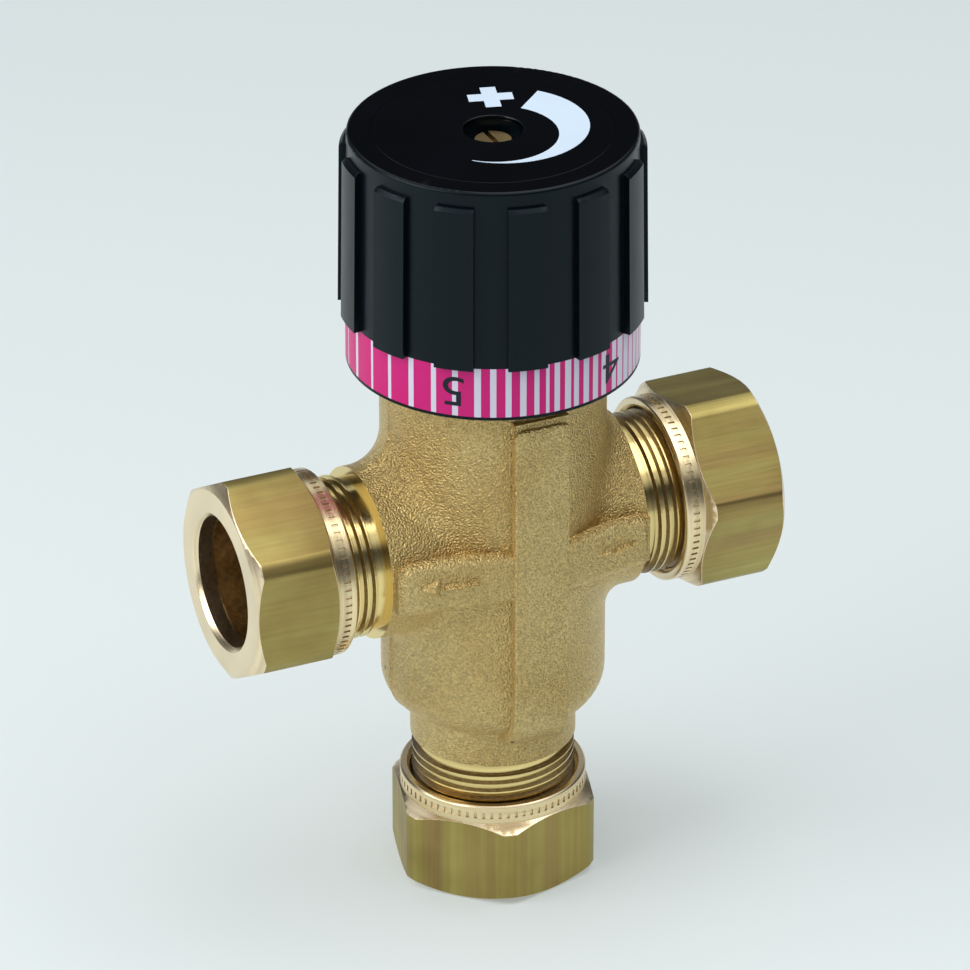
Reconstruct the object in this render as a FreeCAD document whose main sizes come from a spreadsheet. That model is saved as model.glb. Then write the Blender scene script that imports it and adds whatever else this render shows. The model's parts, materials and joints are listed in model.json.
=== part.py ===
"""Mixing valve for 22 mm pipe, 3 ports: hot in on the right, cold in below, mixed out on the left.

Row frame: +Z up the valve, the side ports along X, the front (pointer pad) towards -Y.
The origin is the centre of the bottom nut's end face, on which the valve stands.
"""
import FreeCAD, Part
import math
import os
import Sketcher

doc = FreeCAD.newDocument("mixing_valve")

# ---------------------------------------------------------------- driving sizes, in millimetres

SIZES = [
    ("pipe_bore_radius", 11.05, "22 mm pipe with its sliding clearance"),
    ("socket_depth", 13.0, "how far a pipe goes into the body"),
    ("waterway_radius", 9.5, "bore behind each pipe stop"),
    ("mouth_cone_depth", 2.6, "cone that the olive beds in"),
    ("mouth_cone_radius", 12.75, "cone at the end of the port"),
    ("port_thread_radius", 13.85, "crest of the 28 mm port thread"),
    ("relief_radius", 13.1, "run-out groove behind the thread"),
    ("relief_width", 1.9, "run-out groove behind the thread"),
    ("port_end_chamfer", 0.9, "at the end of each thread"),
    ("machining_radius", 24.0, "reach of the cutter round each port"),
    ("branch_radius", 14.7, "cast side branches"),
    ("left_shoulder", 24.8, "machined shoulder of the left port, from the axis"),
    ("right_shoulder", 22.05, "machined shoulder of the right port, from the axis"),
    ("left_port_length", 41.03, "end of the left port, from the axis"),
    ("right_port_length", 38.2, "end of the right port, from the axis"),
    ("bottom_port_length", 55.7, "end of the bottom port, below the side ports' axis"),
    ("barrel_radius", 19.0, "cast barrel"),
    ("barrel_top", 36.0, "top face of the barrel, above the side ports' axis"),
    ("shoulder_arc_radius", 7.2, "rounded lower end of the barrel"),
    ("shoulder_arc_drop", 26.1, "where the rounding starts, below the side ports' axis"),
    ("neck_radius", 14.1, "cast neck over the bottom port"),
    ("neck_bottom", 39.3, "where the neck's machining starts, below the side ports' axis"),
    ("branch_fillet_foot", 3.2, "casting fillet between branches and barrel, underneath"),
    ("branch_fillet_top", 7.0, "casting fillet between branches and barrel, on top"),
    ("pad_width", 9.8, "flat pad up the front"),
    ("pad_face", 19.6, "pad face, from the barrel's axis"),
    ("pad_top", 29.0, "above the side ports' axis"),
    ("pad_bottom", 27.0, "below the side ports' axis"),
    ("bar_height", 8.2, "arrow bars across the front"),
    ("bar_face", 19.3, "bar face beside the pad, from the axis"),
    ("bar_end_face", 16.0, "bar face at its outer end, from the axis"),
    ("bar_back", 8.0, "bars run into the casting to here"),
    ("bar_inset", 0.4, "bar ends short of the machined shoulders"),
    ("running_clearance", 0.05, "radial clearance of turning and sliding fits"),
    ("seat_clearance", 0.02, "radial clearance of seated rings"),
    ("bedding_gap", 0.1, "gap where loose conical faces meet"),
    # compression nuts and olives
    ("nut_across_flats", 32.3, "hexagon of the compression nuts"),
    ("nut_radius", 18.0, "turned corners of the hexagon"),
    ("nut_face_radius", 15.8, "outer end face"),
    ("nut_face_chamfer", 1.32, "length of the outer chamfer"),
    ("nut_hexagon_end", 13.68, "inner end of the hexagon, from the face"),
    ("nut_collar_radius", 15.9, "round collar behind the hexagon"),
    ("nut_length", 18.2, "face to collar end"),
    ("nut_mouth_radius", 14.7, "lead-in chamfer of the nut's thread"),
    ("nut_wall", 3.5, "front wall of the nut"),
    ("nut_thread_clearance", 0.1, "radial, thread crest to nut bore"),
    ("nut_setback", 8.7, "nut face to port end, hand tight"),
    ("nut_bore_chamfer", 0.8, "mouth of the nut"),
    ("nut_pipe_clearance", 0.1, "nut bore over the pipe bore"),
    ("nut_cone_radius", 12.6, "inner cone that presses the olive"),
    ("nut_collar_chamfer", 0.3, "end of the collar"),
    ("left_nut_turn", -1.0, "turn of the left nut's hexagon, degrees"),
    ("right_nut_turn", 39.9, "turn of the right nut's hexagon, degrees"),
    ("bottom_nut_turn", 15.2, "turn of the bottom nut's hexagon, degrees"),
    ("olive_radius", 12.4, "outside of the compression ring"),
    ("olive_length", 6.7, "compression ring"),
    ("olive_end_radius", 11.5, "ends of the compression ring"),
    ("olive_taper", 2.2, "length of each conical end"),
    # inside of the body
    ("gasket_bore_radius", 15.6, "counterbore for the bonnet's seal ring"),
    ("gasket_bore_depth", 2.0, "counterbore for the bonnet's seal ring"),
    ("bonnet_thread_radius", 14.5, "crest of the bonnet thread"),
    ("bonnet_bottom", 22.5, "lower end of the bonnet, above the side ports' axis"),
    ("hot_chamber_radius", 14.0, "chamber over the hot seat"),
    ("hot_seat_top", 13.0, "above the side ports' axis"),
    ("hot_seat_height", 2.5, "seat ring"),
    ("hot_seat_radius", 12.0, "outside of the seat ring"),
    ("hot_seat_opening", 9.0, "opening of the seat ring"),
    ("mixing_radius", 10.5, "mixing chamber"),
    ("cold_seat_top", 10.5, "below the side ports' axis"),
    ("cold_seat_height", 2.5, "seat ring"),
    ("cold_seat_radius", 9.2, "outside of the seat ring"),
    ("cold_seat_opening", 7.4, "opening of the seat ring"),
    ("cold_seat_ledge", 8.3, "ledge over the cold seat"),
    ("cold_chamber_radius", 12.0, "cored chamber round the cold disc"),
    ("cold_chamber_bottom", 24.0, "below the side ports' axis"),
    ("hot_passage_inner", 13.6, "inner wall of the rising hot passage"),
    ("hot_passage_outer", 17.0, "outer wall of the rising hot passage"),
    ("hot_passage_angle", 50.0, "half angle of the rising hot passage, degrees"),
    ("hot_passage_top", 19.0, "above the side ports' axis"),
    ("hot_passage_bottom", 8.0, "below the side ports' axis"),
    # bonnet
    ("bonnet_flange_height", 4.0, "spanner hexagon on the barrel"),
    ("bonnet_flange_flats", 32.0, "spanner hexagon on the barrel"),
    ("bonnet_neck_radius", 12.0, "over the hexagon"),
    ("bonnet_neck_height", 4.6, "over the hexagon"),
    ("gland_radius", 8.0, "stem gland"),
    ("gland_height", 10.2, "over the neck"),
    ("guide_flats", 18.0, "hexagonal guide for the adjusting nut"),
    ("guide_top", 43.6, "above the side ports' axis"),
    ("stop_outer", 15.6, "stop sector on the hexagon"),
    ("stop_height", 3.4, "stop sector on the hexagon"),
    ("stop_angle", 70.0, "stop sector, degrees"),
    ("bonnet_turn", 4.1, "turn of the tightened bonnet, degrees"),
    ("bonnet_lead_in", 0.8, "chamfer at the foot of the bonnet thread"),
    ("seal_section", 1.9, "cross section of the bonnet seal ring"),
    # spindle
    ("gland_bore", 5.05, "bore of the gland"),
    ("thrust_radius", 7.2, "thrust collar under the gland"),
    ("thrust_height", 1.6, "thrust collar under the gland"),
    ("stem_thread_radius", 5.0, "left-hand thread for the adjusting nut"),
    ("stem_bottom", 30.5, "lower end of the stem, above the side ports' axis"),
    ("stem_seal_section", 1.3, "cross section of the stem seal rings"),
    ("stem_seal_pitch", 3.4, "distance of the two stem seal rings"),
    ("clip_width", 0.9, "retaining clip over the gland"),
    ("clip_radius", 6.4, "retaining clip over the gland"),
    ("clip_groove_radius", 4.2, "groove for the clip"),
    ("drive_flats", 8.0, "hexagonal drive for the knob"),
    ("drive_top", 67.6, "above the side ports' axis"),
    # adjusting nut, overload spring, cap
    ("adjuster_flats", 17.9, "hexagon of the adjusting nut"),
    ("adjuster_top", 41.3, "above the side ports' axis"),
    ("adjuster_web", 6.9, "threaded wall of the adjusting nut"),
    ("adjuster_bottom", 24.6, "above the side ports' axis"),
    ("adjuster_bore", 7.6, "spring pocket of the adjusting nut"),
    ("snap_ring_radius", 8.2, "outside of the snap ring"),
    ("snap_ring_inner", 6.9, "inside of the snap ring"),
    ("snap_ring_height", 0.9, "snap ring"),
    ("snap_ring_lift", 0.9, "snap ring over the adjusting nut's lower end"),
    ("cap_height", 1.6, "flange of the spring cap"),
    ("cap_boss_radius", 4.2, "boss of the spring cap"),
    ("cap_boss_height", 1.6, "boss of the spring cap"),
    ("overload_wire", 1.3, "wire of the overload spring"),
    ("overload_turns", 2.5, "turns of the overload spring"),
    # expansion element with its two valve discs
    ("piston_radius", 2.0, "piston of the expansion element"),
    ("piston_buried", 14.0, "length of the piston inside the element"),
    ("element_neck_radius", 3.6, "guide neck of the element"),
    ("element_neck_height", 4.0, "guide neck of the element"),
    ("element_flange_radius", 8.0, "flange on the hot disc"),
    ("element_flange_height", 1.6, "flange on the hot disc"),
    ("element_cup_radius", 5.6, "wax cup in the mixing chamber"),
    ("element_cup_length", 20.0, "wax cup below the hot disc"),
    ("element_stem_radius", 2.5, "lower stem of the element"),
    ("hot_disc_radius", 11.3, "upper valve disc"),
    ("hot_disc_height", 2.4, "upper valve disc"),
    ("hot_gap", 3.3, "hot disc over its seat"),
    ("cold_gap", 1.5, "cold disc under its seat"),
    ("cold_disc_radius", 8.9, "lower valve disc"),
    ("cold_disc_height", 2.4, "lower valve disc"),
    ("cold_hub_radius", 3.8, "hub of the lower disc"),
    ("cold_hub_length", 13.5, "hub of the lower disc"),
    ("return_wire", 1.2, "wire of the return spring"),
    ("return_radius", 7.0, "mean radius of the return spring"),
    ("return_turns", 4.0, "turns of the return spring"),
    ("spider_top", 27.0, "spring retainer, below the side ports' axis"),
    ("spider_height", 2.0, "spring retainer"),
    ("spider_radius", 9.7, "spring retainer in its counterbore"),
    ("spider_rim", 1.6, "radial width of the retainer's rim"),
    ("spider_hub_radius", 5.2, "guide hub of the retainer"),
    ("spider_arm", 2.0, "width of the retainer's arms"),
    ("spider_arm_count", 3, "arms of the retainer"),
    ("spider_ledge", 9.35, "ledge over the retainer"),
    ("spider_clip_radius", 10.5, "clip under the retainer"),
    ("spider_clip_inner", 8.6, "clip under the retainer"),
    ("clip_opening", 50.0, "gap of each open ring, degrees"),
    # knob
    ("knob_top", 73.63, "top of the knob, above the side ports' axis"),
    ("knob_top_radius", 24.1, "at the top edge"),
    ("knob_foot_radius", 24.5, "at the foot of the ribbed wall"),
    ("knob_foot", 42.0, "foot of the ribbed wall"),
    ("knob_lip", 32.5, "lowest edge of the knob"),
    ("knob_lip_height", 0.55, "lip under the scale band"),
    ("knob_cavity_radius", 21.8, "inside of the knob"),
    ("knob_top_wall", 2.6, "top wall of the knob"),
    ("knob_edge_radius", 0.6, "rounding of the top edge"),
    ("knob_hub_radius", 8.0, "hub over the spindle"),
    ("knob_hub_bottom", 56.6, "lower end of the hub"),
    ("rib_count", 13, "grip ribs"),
    ("rib_angle", 14.9, "width of a rib, degrees"),
    ("knob_turn", 9.3, "turn of the first rib from +X at the stored setting, degrees"),
    ("rib_top_radius", 25.3, "outer face of a rib at its top"),
    ("rib_foot_radius", 25.7, "outer face of a rib at its foot"),
    ("rib_top", 70.9, "top of the ribs, above the side ports' axis"),
    ("rib_chamfer", 0.6, "top edge of the ribs"),
    ("web_count", 6, "stiffening webs inside the knob"),
    ("web_width", 1.2, "stiffening webs inside the knob"),
    ("web_bottom", 60.0, "lower edge of the webs"),
    ("lug_angle", 18.6, "stop lug inside the knob, degrees"),
    ("lug_bottom", 41.2, "lower end of the stop lug"),
    ("lug_inner", 12.9, "inner face of the stop lug"),
    ("lug_height", 9.0, "stop lug inside the knob"),
    ("band_inner", 23.4, "skirt of the knob under the scale band"),
    ("band_radius", 24.5, "scale band"),
    ("disc_radius", 20.1, "inlaid face disc"),
    ("disc_height", 0.8, "inlaid face disc"),
    ("recess_radius", 5.0, "screw recess"),
    ("recess_floor", 69.2, "floor of the screw recess"),
    ("washer_radius", 4.4, "under the screw head"),
    ("washer_height", 0.5, "under the screw head"),
    ("screw_head_radius", 3.4, "knob screw"),
    ("screw_head_height", 2.0, "knob screw"),
    ("screw_radius", 2.0, "knob screw"),
    ("screw_length", 9.0, "knob screw, under its head"),
    ("screw_slot", 0.9, "width of the driver slot"),
    ("screw_slot_depth", 0.8, "depth of the driver slot"),
    ("tip_room", 0.6, "room beyond the ends of screw and piston"),
]

sheet = doc.addObject("Spreadsheet::Sheet", "Dim")
for row, (alias, number, meaning) in enumerate(SIZES, start=1):
    sheet.set(f"A{row}", meaning)
    sheet.set(f"B{row}", str(number))
    sheet.setAlias(f"B{row}", alias)
doc.recompute()


class Size:
    """A size that carries its number and its spreadsheet formula, so sums of sizes stay bound."""

    def __init__(self, number, formula):
        self.number = float(number)
        self.formula = formula

    def join(self, sign, other, number):
        other_formula = other.formula if isinstance(other, Size) else repr(float(other))
        return Size(number, f"({self.formula} {sign} {other_formula})")

    def __add__(self, other):
        return self.join("+", other, self.number + value(other))

    def __sub__(self, other):
        return self.join("-", other, self.number - value(other))

    def __mul__(self, other):
        return self.join("*", other, self.number * value(other))

    def __truediv__(self, other):
        return self.join("/", other, self.number / value(other))

    def __neg__(self):
        return Size(-self.number, f"(0 - {self.formula})")


def value(size):
    return size.number if isinstance(size, Size) else float(size)


def fixed(number):
    return Size(number, repr(float(number)))


class Dimensions:
    """Every alias of the sheet as a Size: dim.barrel_radius and so on."""

    def __init__(self):
        for alias, _, _ in SIZES:
            setattr(self, alias, Size(sheet.get(alias), f"Dim.{alias}"))


dim = Dimensions()
ZERO = fixed(0)
AXIS_HEIGHT = dim.bottom_port_length + dim.nut_setback  # side ports' axis over the floor

# ---------------------------------------------------------------- helpers

pieces = {}


def volume(feature):
    return feature.Shape.Volume


def new_body(name):
    return doc.addObject("PartDesign::Body", name)


def plane(body, role):
    return next(item for item in body.Origin.OriginFeatures if item.Role == role)


def new_sketch(body, role, name):
    sketch = body.newObject("Sketcher::SketchObject", name)
    sketch.AttachmentSupport = [(plane(body, role), "")]
    sketch.MapMode = "FlatFace"
    return sketch


def pin_point(sketch, line, end, point, directions=("DistanceX", "DistanceY")):
    """Fix one end of a line at bound distances from the sketch's origin."""
    for direction in directions:
        size = point[0] if direction == "DistanceX" else point[1]
        index = sketch.addConstraint(Sketcher.Constraint(direction, -1, 1, line, end, value(size)))
        sketch.setExpression(f"Constraints[{index}]", size.formula)


def outline(sketch, points, arcs=None):
    """A closed outline through bound points.

    arcs gives, for each side that is an arc run counter-clockwise, its centre and the one direction
    that holds its first point, since the circle settles the other.
    """
    arcs = arcs or {}
    corners = [FreeCAD.Vector(value(x), value(y), 0) for x, y in points]
    for number, start in enumerate(corners):
        finish = corners[(number + 1) % len(corners)]
        if number in arcs:
            centre = arcs[number][0]
            hub = FreeCAD.Vector(value(centre[0]), value(centre[1]), 0)
            begin, end = (math.atan2(p.y - hub.y, p.x - hub.x) for p in (start, finish))
            rim = Part.Circle(hub, FreeCAD.Vector(0, 0, 1), finish.distanceToPoint(hub))
            sketch.addGeometry(Part.ArcOfCircle(rim, begin, end))
            pin_point(sketch, number, 3, centre)
        else:
            sketch.addGeometry(Part.LineSegment(start, finish))
    for number, point in enumerate(points):
        before = (number - 1) % len(points)
        sketch.addConstraint(Sketcher.Constraint("Coincident", before, 2, number, 1))
        directions = arcs[number][1:] if number in arcs else ("DistanceX", "DistanceY")
        pin_point(sketch, number, 1, point, directions)
    return sketch


def circle(sketch, radius, centre=(ZERO, ZERO)):
    hub = FreeCAD.Vector(value(centre[0]), value(centre[1]), 0)
    side = sketch.addGeometry(Part.Circle(hub, FreeCAD.Vector(0, 0, 1), value(radius)))
    index = sketch.addConstraint(Sketcher.Constraint("Radius", side, value(radius)))
    sketch.setExpression(f"Constraints[{index}]", radius.formula)
    pin_point(sketch, side, 3, centre)
    return sketch


def revolve(body, sketch, axis, name, angle=None, cut=False):
    kind = "PartDesign::Groove" if cut else "PartDesign::Revolution"
    before = volume(body.Tip) if cut else 0
    feature = body.newObject(kind, name)
    feature.Profile = (sketch, [""])
    feature.ReferenceAxis = (sketch, [axis])
    feature.Angle = 360.0
    if angle is not None:
        feature.Midplane = True
        feature.setExpression("Angle", angle.formula)
    sketch.Visibility = False
    doc.recompute()
    if cut and volume(feature) > before - 0.01:
        raise RuntimeError(f"{name} cuts nothing")
    return feature


def turned(body, points, name, arcs=None):
    """A piece turned about its own Z axis, from points of (radius, height)."""
    sketch = outline(new_sketch(body, "XZ_Plane", name + "_profile"), points, arcs)
    return revolve(body, sketch, "V_Axis", name)


def pad(body, sketch, length, name, midplane=False, reverse=False):
    feature = body.newObject("PartDesign::Pad", name)
    feature.Profile = sketch
    feature.setExpression("Length", length.formula)
    feature.Midplane = midplane
    feature.Reversed = reverse
    doc.recompute()
    return feature


def pocket(body, sketch, name, length, midplane=False):
    """A cut behind the sketch or, with midplane, on both sides of it."""
    before = volume(body.Tip)
    feature = body.newObject("PartDesign::Pocket", name)
    feature.Profile = sketch
    feature.setExpression("Length", length.formula)
    feature.Midplane = midplane
    doc.recompute()
    if volume(feature) > before - 0.01:
        raise RuntimeError(f"{name} cuts nothing")
    return feature


def around(body, features, count, name):
    """A polar pattern of features about the body's Z axis."""
    feature = body.newObject("PartDesign::PolarPattern", name)
    feature.Originals = features
    feature.Axis = (plane(body, "Z_Axis"), [""])
    feature.Angle = 360.0
    feature.setExpression("Occurrences", count.formula)
    body.Tip = feature
    doc.recompute()
    return feature


def place(piece, z=ZERO, x=ZERO, y=ZERO, rotation=None):
    """Put a piece in the row frame by bound distances."""
    piece.Placement = FreeCAD.Placement(
        FreeCAD.Vector(value(x), value(y), value(z)), rotation or FreeCAD.Rotation()
    )
    for direction, size in zip("xyz", (x, y, z)):
        if size is not ZERO:
            piece.setExpression(f".Placement.Base.{direction}", size.formula)


def finish(piece, label):
    piece.Label = label
    pieces[label] = piece


# ---------------------------------------------------------------- body casting
# One brass casting, machined at its three ports, its top and its inside.


def machined_port(body, name, role, axis, length, shoulder, side):
    """Turn the outside of a cast port: thread, run-out groove and the flat shoulder behind it."""
    thread_end = shoulder + dim.relief_width
    section = [
        (dim.relief_radius, shoulder),
        (dim.machining_radius, shoulder),
        (dim.machining_radius, length),
        (dim.port_thread_radius - dim.port_end_chamfer, length),
        (dim.port_thread_radius, length - dim.port_end_chamfer),
        (dim.port_thread_radius, thread_end),
        (dim.relief_radius, thread_end),
    ]
    points = [(radius, -along if side < 0 else along) for radius, along in section]
    if axis == "H_Axis":
        points = [(along, radius) for radius, along in points]
    sketch = outline(new_sketch(body, role, name + "_profile"), points)
    return revolve(body, sketch, axis, name, cut=True)


casting = new_body("RoughCasting")
arc_centre = (dim.barrel_radius - dim.shoulder_arc_radius, -dim.shoulder_arc_drop)
arc_fall = math.sqrt(
    dim.shoulder_arc_radius.number**2 - (dim.neck_radius.number - arc_centre[0].number) ** 2
)
neck_top = fixed(-dim.shoulder_arc_drop.number - arc_fall)
barrel_points = [
    (ZERO, -dim.bottom_port_length),
    (dim.neck_radius, -dim.bottom_port_length),
    (dim.neck_radius, neck_top),
    (dim.barrel_radius, -dim.shoulder_arc_drop),
    (dim.barrel_radius, dim.barrel_top),
    (ZERO, dim.barrel_top),
]
turned(casting, barrel_points, "Barrel", {2: (arc_centre, "DistanceX")})

branch_points = [
    (-dim.left_port_length, ZERO),
    (dim.right_port_length, ZERO),
    (dim.right_port_length, dim.branch_radius),
    (-dim.left_port_length, dim.branch_radius),
]
branch_sketch = outline(new_sketch(casting, "XZ_Plane", "Branches_profile"), branch_points)
revolve(casting, branch_sketch, "H_Axis", "Branches")

# The fillets under the branches are tighter than those on top, so each front fillet grows from its
# foot to its top, and the back half of the casting mirrors the front half.
front_room = doc.addObject("Part::Box", "FrontRoom")
front_room.setExpression("Length", (dim.left_port_length * 2).formula)
front_room.setExpression("Width", (dim.barrel_radius * 2).formula)
front_room.setExpression("Height", (dim.bottom_port_length * 2).formula)
place(front_room, x=-dim.left_port_length, y=-dim.barrel_radius * 2, z=-dim.bottom_port_length)
front_half = doc.addObject("Part::Common", "CastingFront")
front_half.Base = casting
front_half.Tool = front_room
doc.recompute()

front_fillet = doc.addObject("Part::Fillet", "CastingFrontFillet")
front_fillet.Base = front_half
front_fillet.Edges = [
    (number, value(dim.branch_fillet_foot), value(dim.branch_fillet_top))
    if edge.Vertexes[0].Point.z < edge.Vertexes[-1].Point.z
    else (number, value(dim.branch_fillet_top), value(dim.branch_fillet_foot))
    for number, edge in enumerate(front_half.Shape.Edges, start=1)
    if isinstance(edge.Curve, Part.BSplineCurve)
]
back_half = doc.addObject("Part::Mirroring", "CastingBack")
back_half.Source = front_fillet
back_half.Normal = FreeCAD.Vector(0, 1, 0)
whole_casting = doc.addObject("Part::Fuse", "WholeCasting")
whole_casting.Base = front_fillet
whole_casting.Tool = back_half
whole_casting.Refine = True
doc.recompute()

valve = new_body("ValveBody")
valve.BaseFeature = whole_casting
doc.recompute()

# The pointer pad up the front follows the barrel's rounded foot.
pad_arc_centre = (dim.shoulder_arc_radius - dim.pad_face, -dim.pad_bottom)
pad_points = [
    (-dim.bar_back, dim.pad_top),
    (-dim.pad_face, dim.pad_top),
    (-dim.pad_face, -dim.pad_bottom),
    (pad_arc_centre[0], -dim.pad_bottom - dim.shoulder_arc_radius),
    (-dim.bar_back, -dim.pad_bottom - dim.shoulder_arc_radius),
]
pad_arcs = {2: (pad_arc_centre, "DistanceY")}
pad_sketch = outline(new_sketch(valve, "YZ_Plane", "Pad_profile"), pad_points, pad_arcs)
pad(valve, pad_sketch, dim.pad_width, "PointerPad", midplane=True)

# The two arrow bars are one draughted bar that runs across behind the pad.
bar_points = [
    (-dim.left_shoulder + dim.bar_inset, -dim.bar_back),
    (-dim.left_shoulder + dim.bar_inset, -dim.bar_end_face),
    (-dim.pad_width / 2, -dim.bar_face),
    (dim.pad_width / 2, -dim.bar_face),
    (dim.right_shoulder - dim.bar_inset, -dim.bar_end_face),
    (dim.right_shoulder - dim.bar_inset, -dim.bar_back),
]
bar_sketch = outline(new_sketch(valve, "XY_Plane", "Bars_profile"), bar_points)
pad(valve, bar_sketch, dim.bar_height, "ArrowBars", midplane=True)

# Machining of the three ports' outsides.
machined_port(
    valve, "LeftPort", "XZ_Plane", "H_Axis", dim.left_port_length, dim.left_shoulder, -1
)
machined_port(
    valve, "RightPort", "XZ_Plane", "H_Axis", dim.right_port_length, dim.right_shoulder, 1
)
machined_port(
    valve, "BottomPort", "XZ_Plane", "V_Axis", dim.bottom_port_length, dim.neck_bottom, -1
)


def socket_outline(length, inner_end):
    """Half section of a pipe socket: waterway, pipe stop, socket, olive cone."""
    stop = length - dim.socket_depth
    return [
        (ZERO, inner_end),
        (dim.waterway_radius, inner_end),
        (dim.waterway_radius, stop),
        (dim.pipe_bore_radius, stop),
        (dim.pipe_bore_radius, length - dim.mouth_cone_depth),
        (dim.mouth_cone_radius, length),
        (ZERO, length),
    ]


# Insides: the side ports bore into the mixing chamber and into the rising hot passage.
left_socket = socket_outline(dim.left_port_length, ZERO)
left_sketch = outline(
    new_sketch(valve, "XZ_Plane", "LeftWaterway_profile"),
    [(-along, radius) for radius, along in left_socket],
)
revolve(valve, left_sketch, "H_Axis", "LeftWaterway", cut=True)

passage_middle = (dim.hot_passage_inner + dim.hot_passage_outer) / 2
right_socket = socket_outline(dim.right_port_length, passage_middle)
right_sketch = outline(
    new_sketch(valve, "XZ_Plane", "RightWaterway_profile"),
    [(along, radius) for radius, along in right_socket],
)
revolve(valve, right_sketch, "H_Axis", "RightWaterway", cut=True)

passage_sketch = outline(
    new_sketch(valve, "XZ_Plane", "HotPassage_profile"),
    [
        (dim.hot_passage_inner, -dim.hot_passage_bottom),
        (dim.hot_passage_outer, -dim.hot_passage_bottom),
        (dim.hot_passage_outer, dim.hot_passage_top),
        (dim.hot_passage_inner, dim.hot_passage_top),
    ],
)
revolve(
    valve, passage_sketch, "V_Axis", "HotPassage", angle=dim.hot_passage_angle * 2, cut=True
)

# The bores down the barrel, from the bonnet's thread to the bottom socket.
bonnet_thread_bore = dim.bonnet_thread_radius + dim.nut_thread_clearance
hot_seat_bore = dim.hot_seat_radius + dim.seat_clearance
hot_seat_foot = dim.hot_seat_top - dim.hot_seat_height
cold_seat_bore = dim.cold_seat_radius + dim.seat_clearance
cold_seat_foot = -dim.cold_seat_top - dim.cold_seat_height
spider_bore = dim.spider_radius + dim.seat_clearance
spider_foot = -dim.spider_top - dim.spider_height
clip_groove = dim.spider_clip_radius + dim.seat_clearance
bottom_stop = dim.socket_depth - dim.bottom_port_length
bore_points = [
    (ZERO, dim.barrel_top),
    (dim.gasket_bore_radius, dim.barrel_top),
    (dim.gasket_bore_radius, dim.barrel_top - dim.gasket_bore_depth),
    (bonnet_thread_bore, dim.barrel_top - dim.gasket_bore_depth),
    (bonnet_thread_bore, dim.bonnet_bottom),
    (dim.hot_chamber_radius, dim.bonnet_bottom),
    (dim.hot_chamber_radius, dim.hot_seat_top),
    (hot_seat_bore, dim.hot_seat_top),
    (hot_seat_bore, hot_seat_foot),
    (dim.mixing_radius, hot_seat_foot),
    (dim.mixing_radius, -dim.cold_seat_top + dim.cold_seat_height),
    (dim.cold_seat_ledge, -dim.cold_seat_top),
    (cold_seat_bore, -dim.cold_seat_top),
    (cold_seat_bore, cold_seat_foot),
    (dim.cold_chamber_radius, cold_seat_foot),
    (dim.cold_chamber_radius, -dim.cold_chamber_bottom),
    (dim.spider_ledge, -dim.cold_chamber_bottom),
    (dim.spider_ledge, -dim.spider_top),
    (spider_bore, -dim.spider_top),
    (spider_bore, spider_foot),
    (clip_groove, spider_foot),
    (clip_groove, spider_foot - dim.clip_width),
    (spider_bore, spider_foot - dim.clip_width),
    (spider_bore, bottom_stop),
    (dim.pipe_bore_radius, bottom_stop),
    (dim.pipe_bore_radius, dim.mouth_cone_depth - dim.bottom_port_length),
    (dim.mouth_cone_radius, -dim.bottom_port_length),
    (ZERO, -dim.bottom_port_length),
]
bore_sketch = outline(new_sketch(valve, "XZ_Plane", "BarrelBore_profile"), bore_points)
revolve(valve, bore_sketch, "V_Axis", "BarrelBore", cut=True)
place(valve, z=AXIS_HEIGHT)
finish(valve, "body")

# ---------------------------------------------------------------- valve seats
# Two turned rings pressed into the body from above and from below.


def ring(label, inner, outer, foot, top, lift=AXIS_HEIGHT):
    """A plain turned ring."""
    body = new_body(label + "_turned")
    turned(body, [(inner, foot), (outer, foot), (outer, top), (inner, top)], label + "_ring")
    place(body, z=lift)
    finish(body, label)
    return body


ring("hot_seat", dim.hot_seat_opening, dim.hot_seat_radius, hot_seat_foot, dim.hot_seat_top)
ring("cold_seat", dim.cold_seat_opening, dim.cold_seat_radius, cold_seat_foot, -dim.cold_seat_top)

# ---------------------------------------------------------------- bonnet
# Turned brass, screwed into the barrel by its hexagon. It guides the adjusting nut in a hexagonal
# hole, carries the spindle in its gland and stops the knob with the sector on its hexagon.


def prism(name, flats, foot, height, turn=None):
    """A hexagonal bar along Z."""
    bar = doc.addObject("Part::Prism", name)
    bar.Polygon = 6
    bar.setExpression("Circumradius", f"{flats.formula} / 2 / cos(30 deg)")
    bar.setExpression("Height", height.formula)
    place(bar, z=foot)
    if turn is not None:
        turn_about_z(bar, turn)
    return bar


def turn_about_z(piece, turn):
    piece.Placement.Rotation = FreeCAD.Rotation(FreeCAD.Vector(0, 0, 1), value(turn))
    piece.setExpression(".Placement.Rotation.Angle", turn.formula)


def combine(kind, name, base, tool):
    """A Part boolean: Cut, Fuse or Common."""
    result = doc.addObject("Part::" + kind, name)
    result.Base = base
    result.Tool = tool
    doc.recompute()
    return result


bonnet_shoulder = dim.barrel_top - dim.gasket_bore_depth
bonnet_groove = dim.gasket_bore_radius - dim.seal_section - dim.seat_clearance * 2
flange_top = dim.barrel_top + dim.bonnet_flange_height
neck_end = flange_top + dim.bonnet_neck_height
gland_top = neck_end + dim.gland_height

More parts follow.
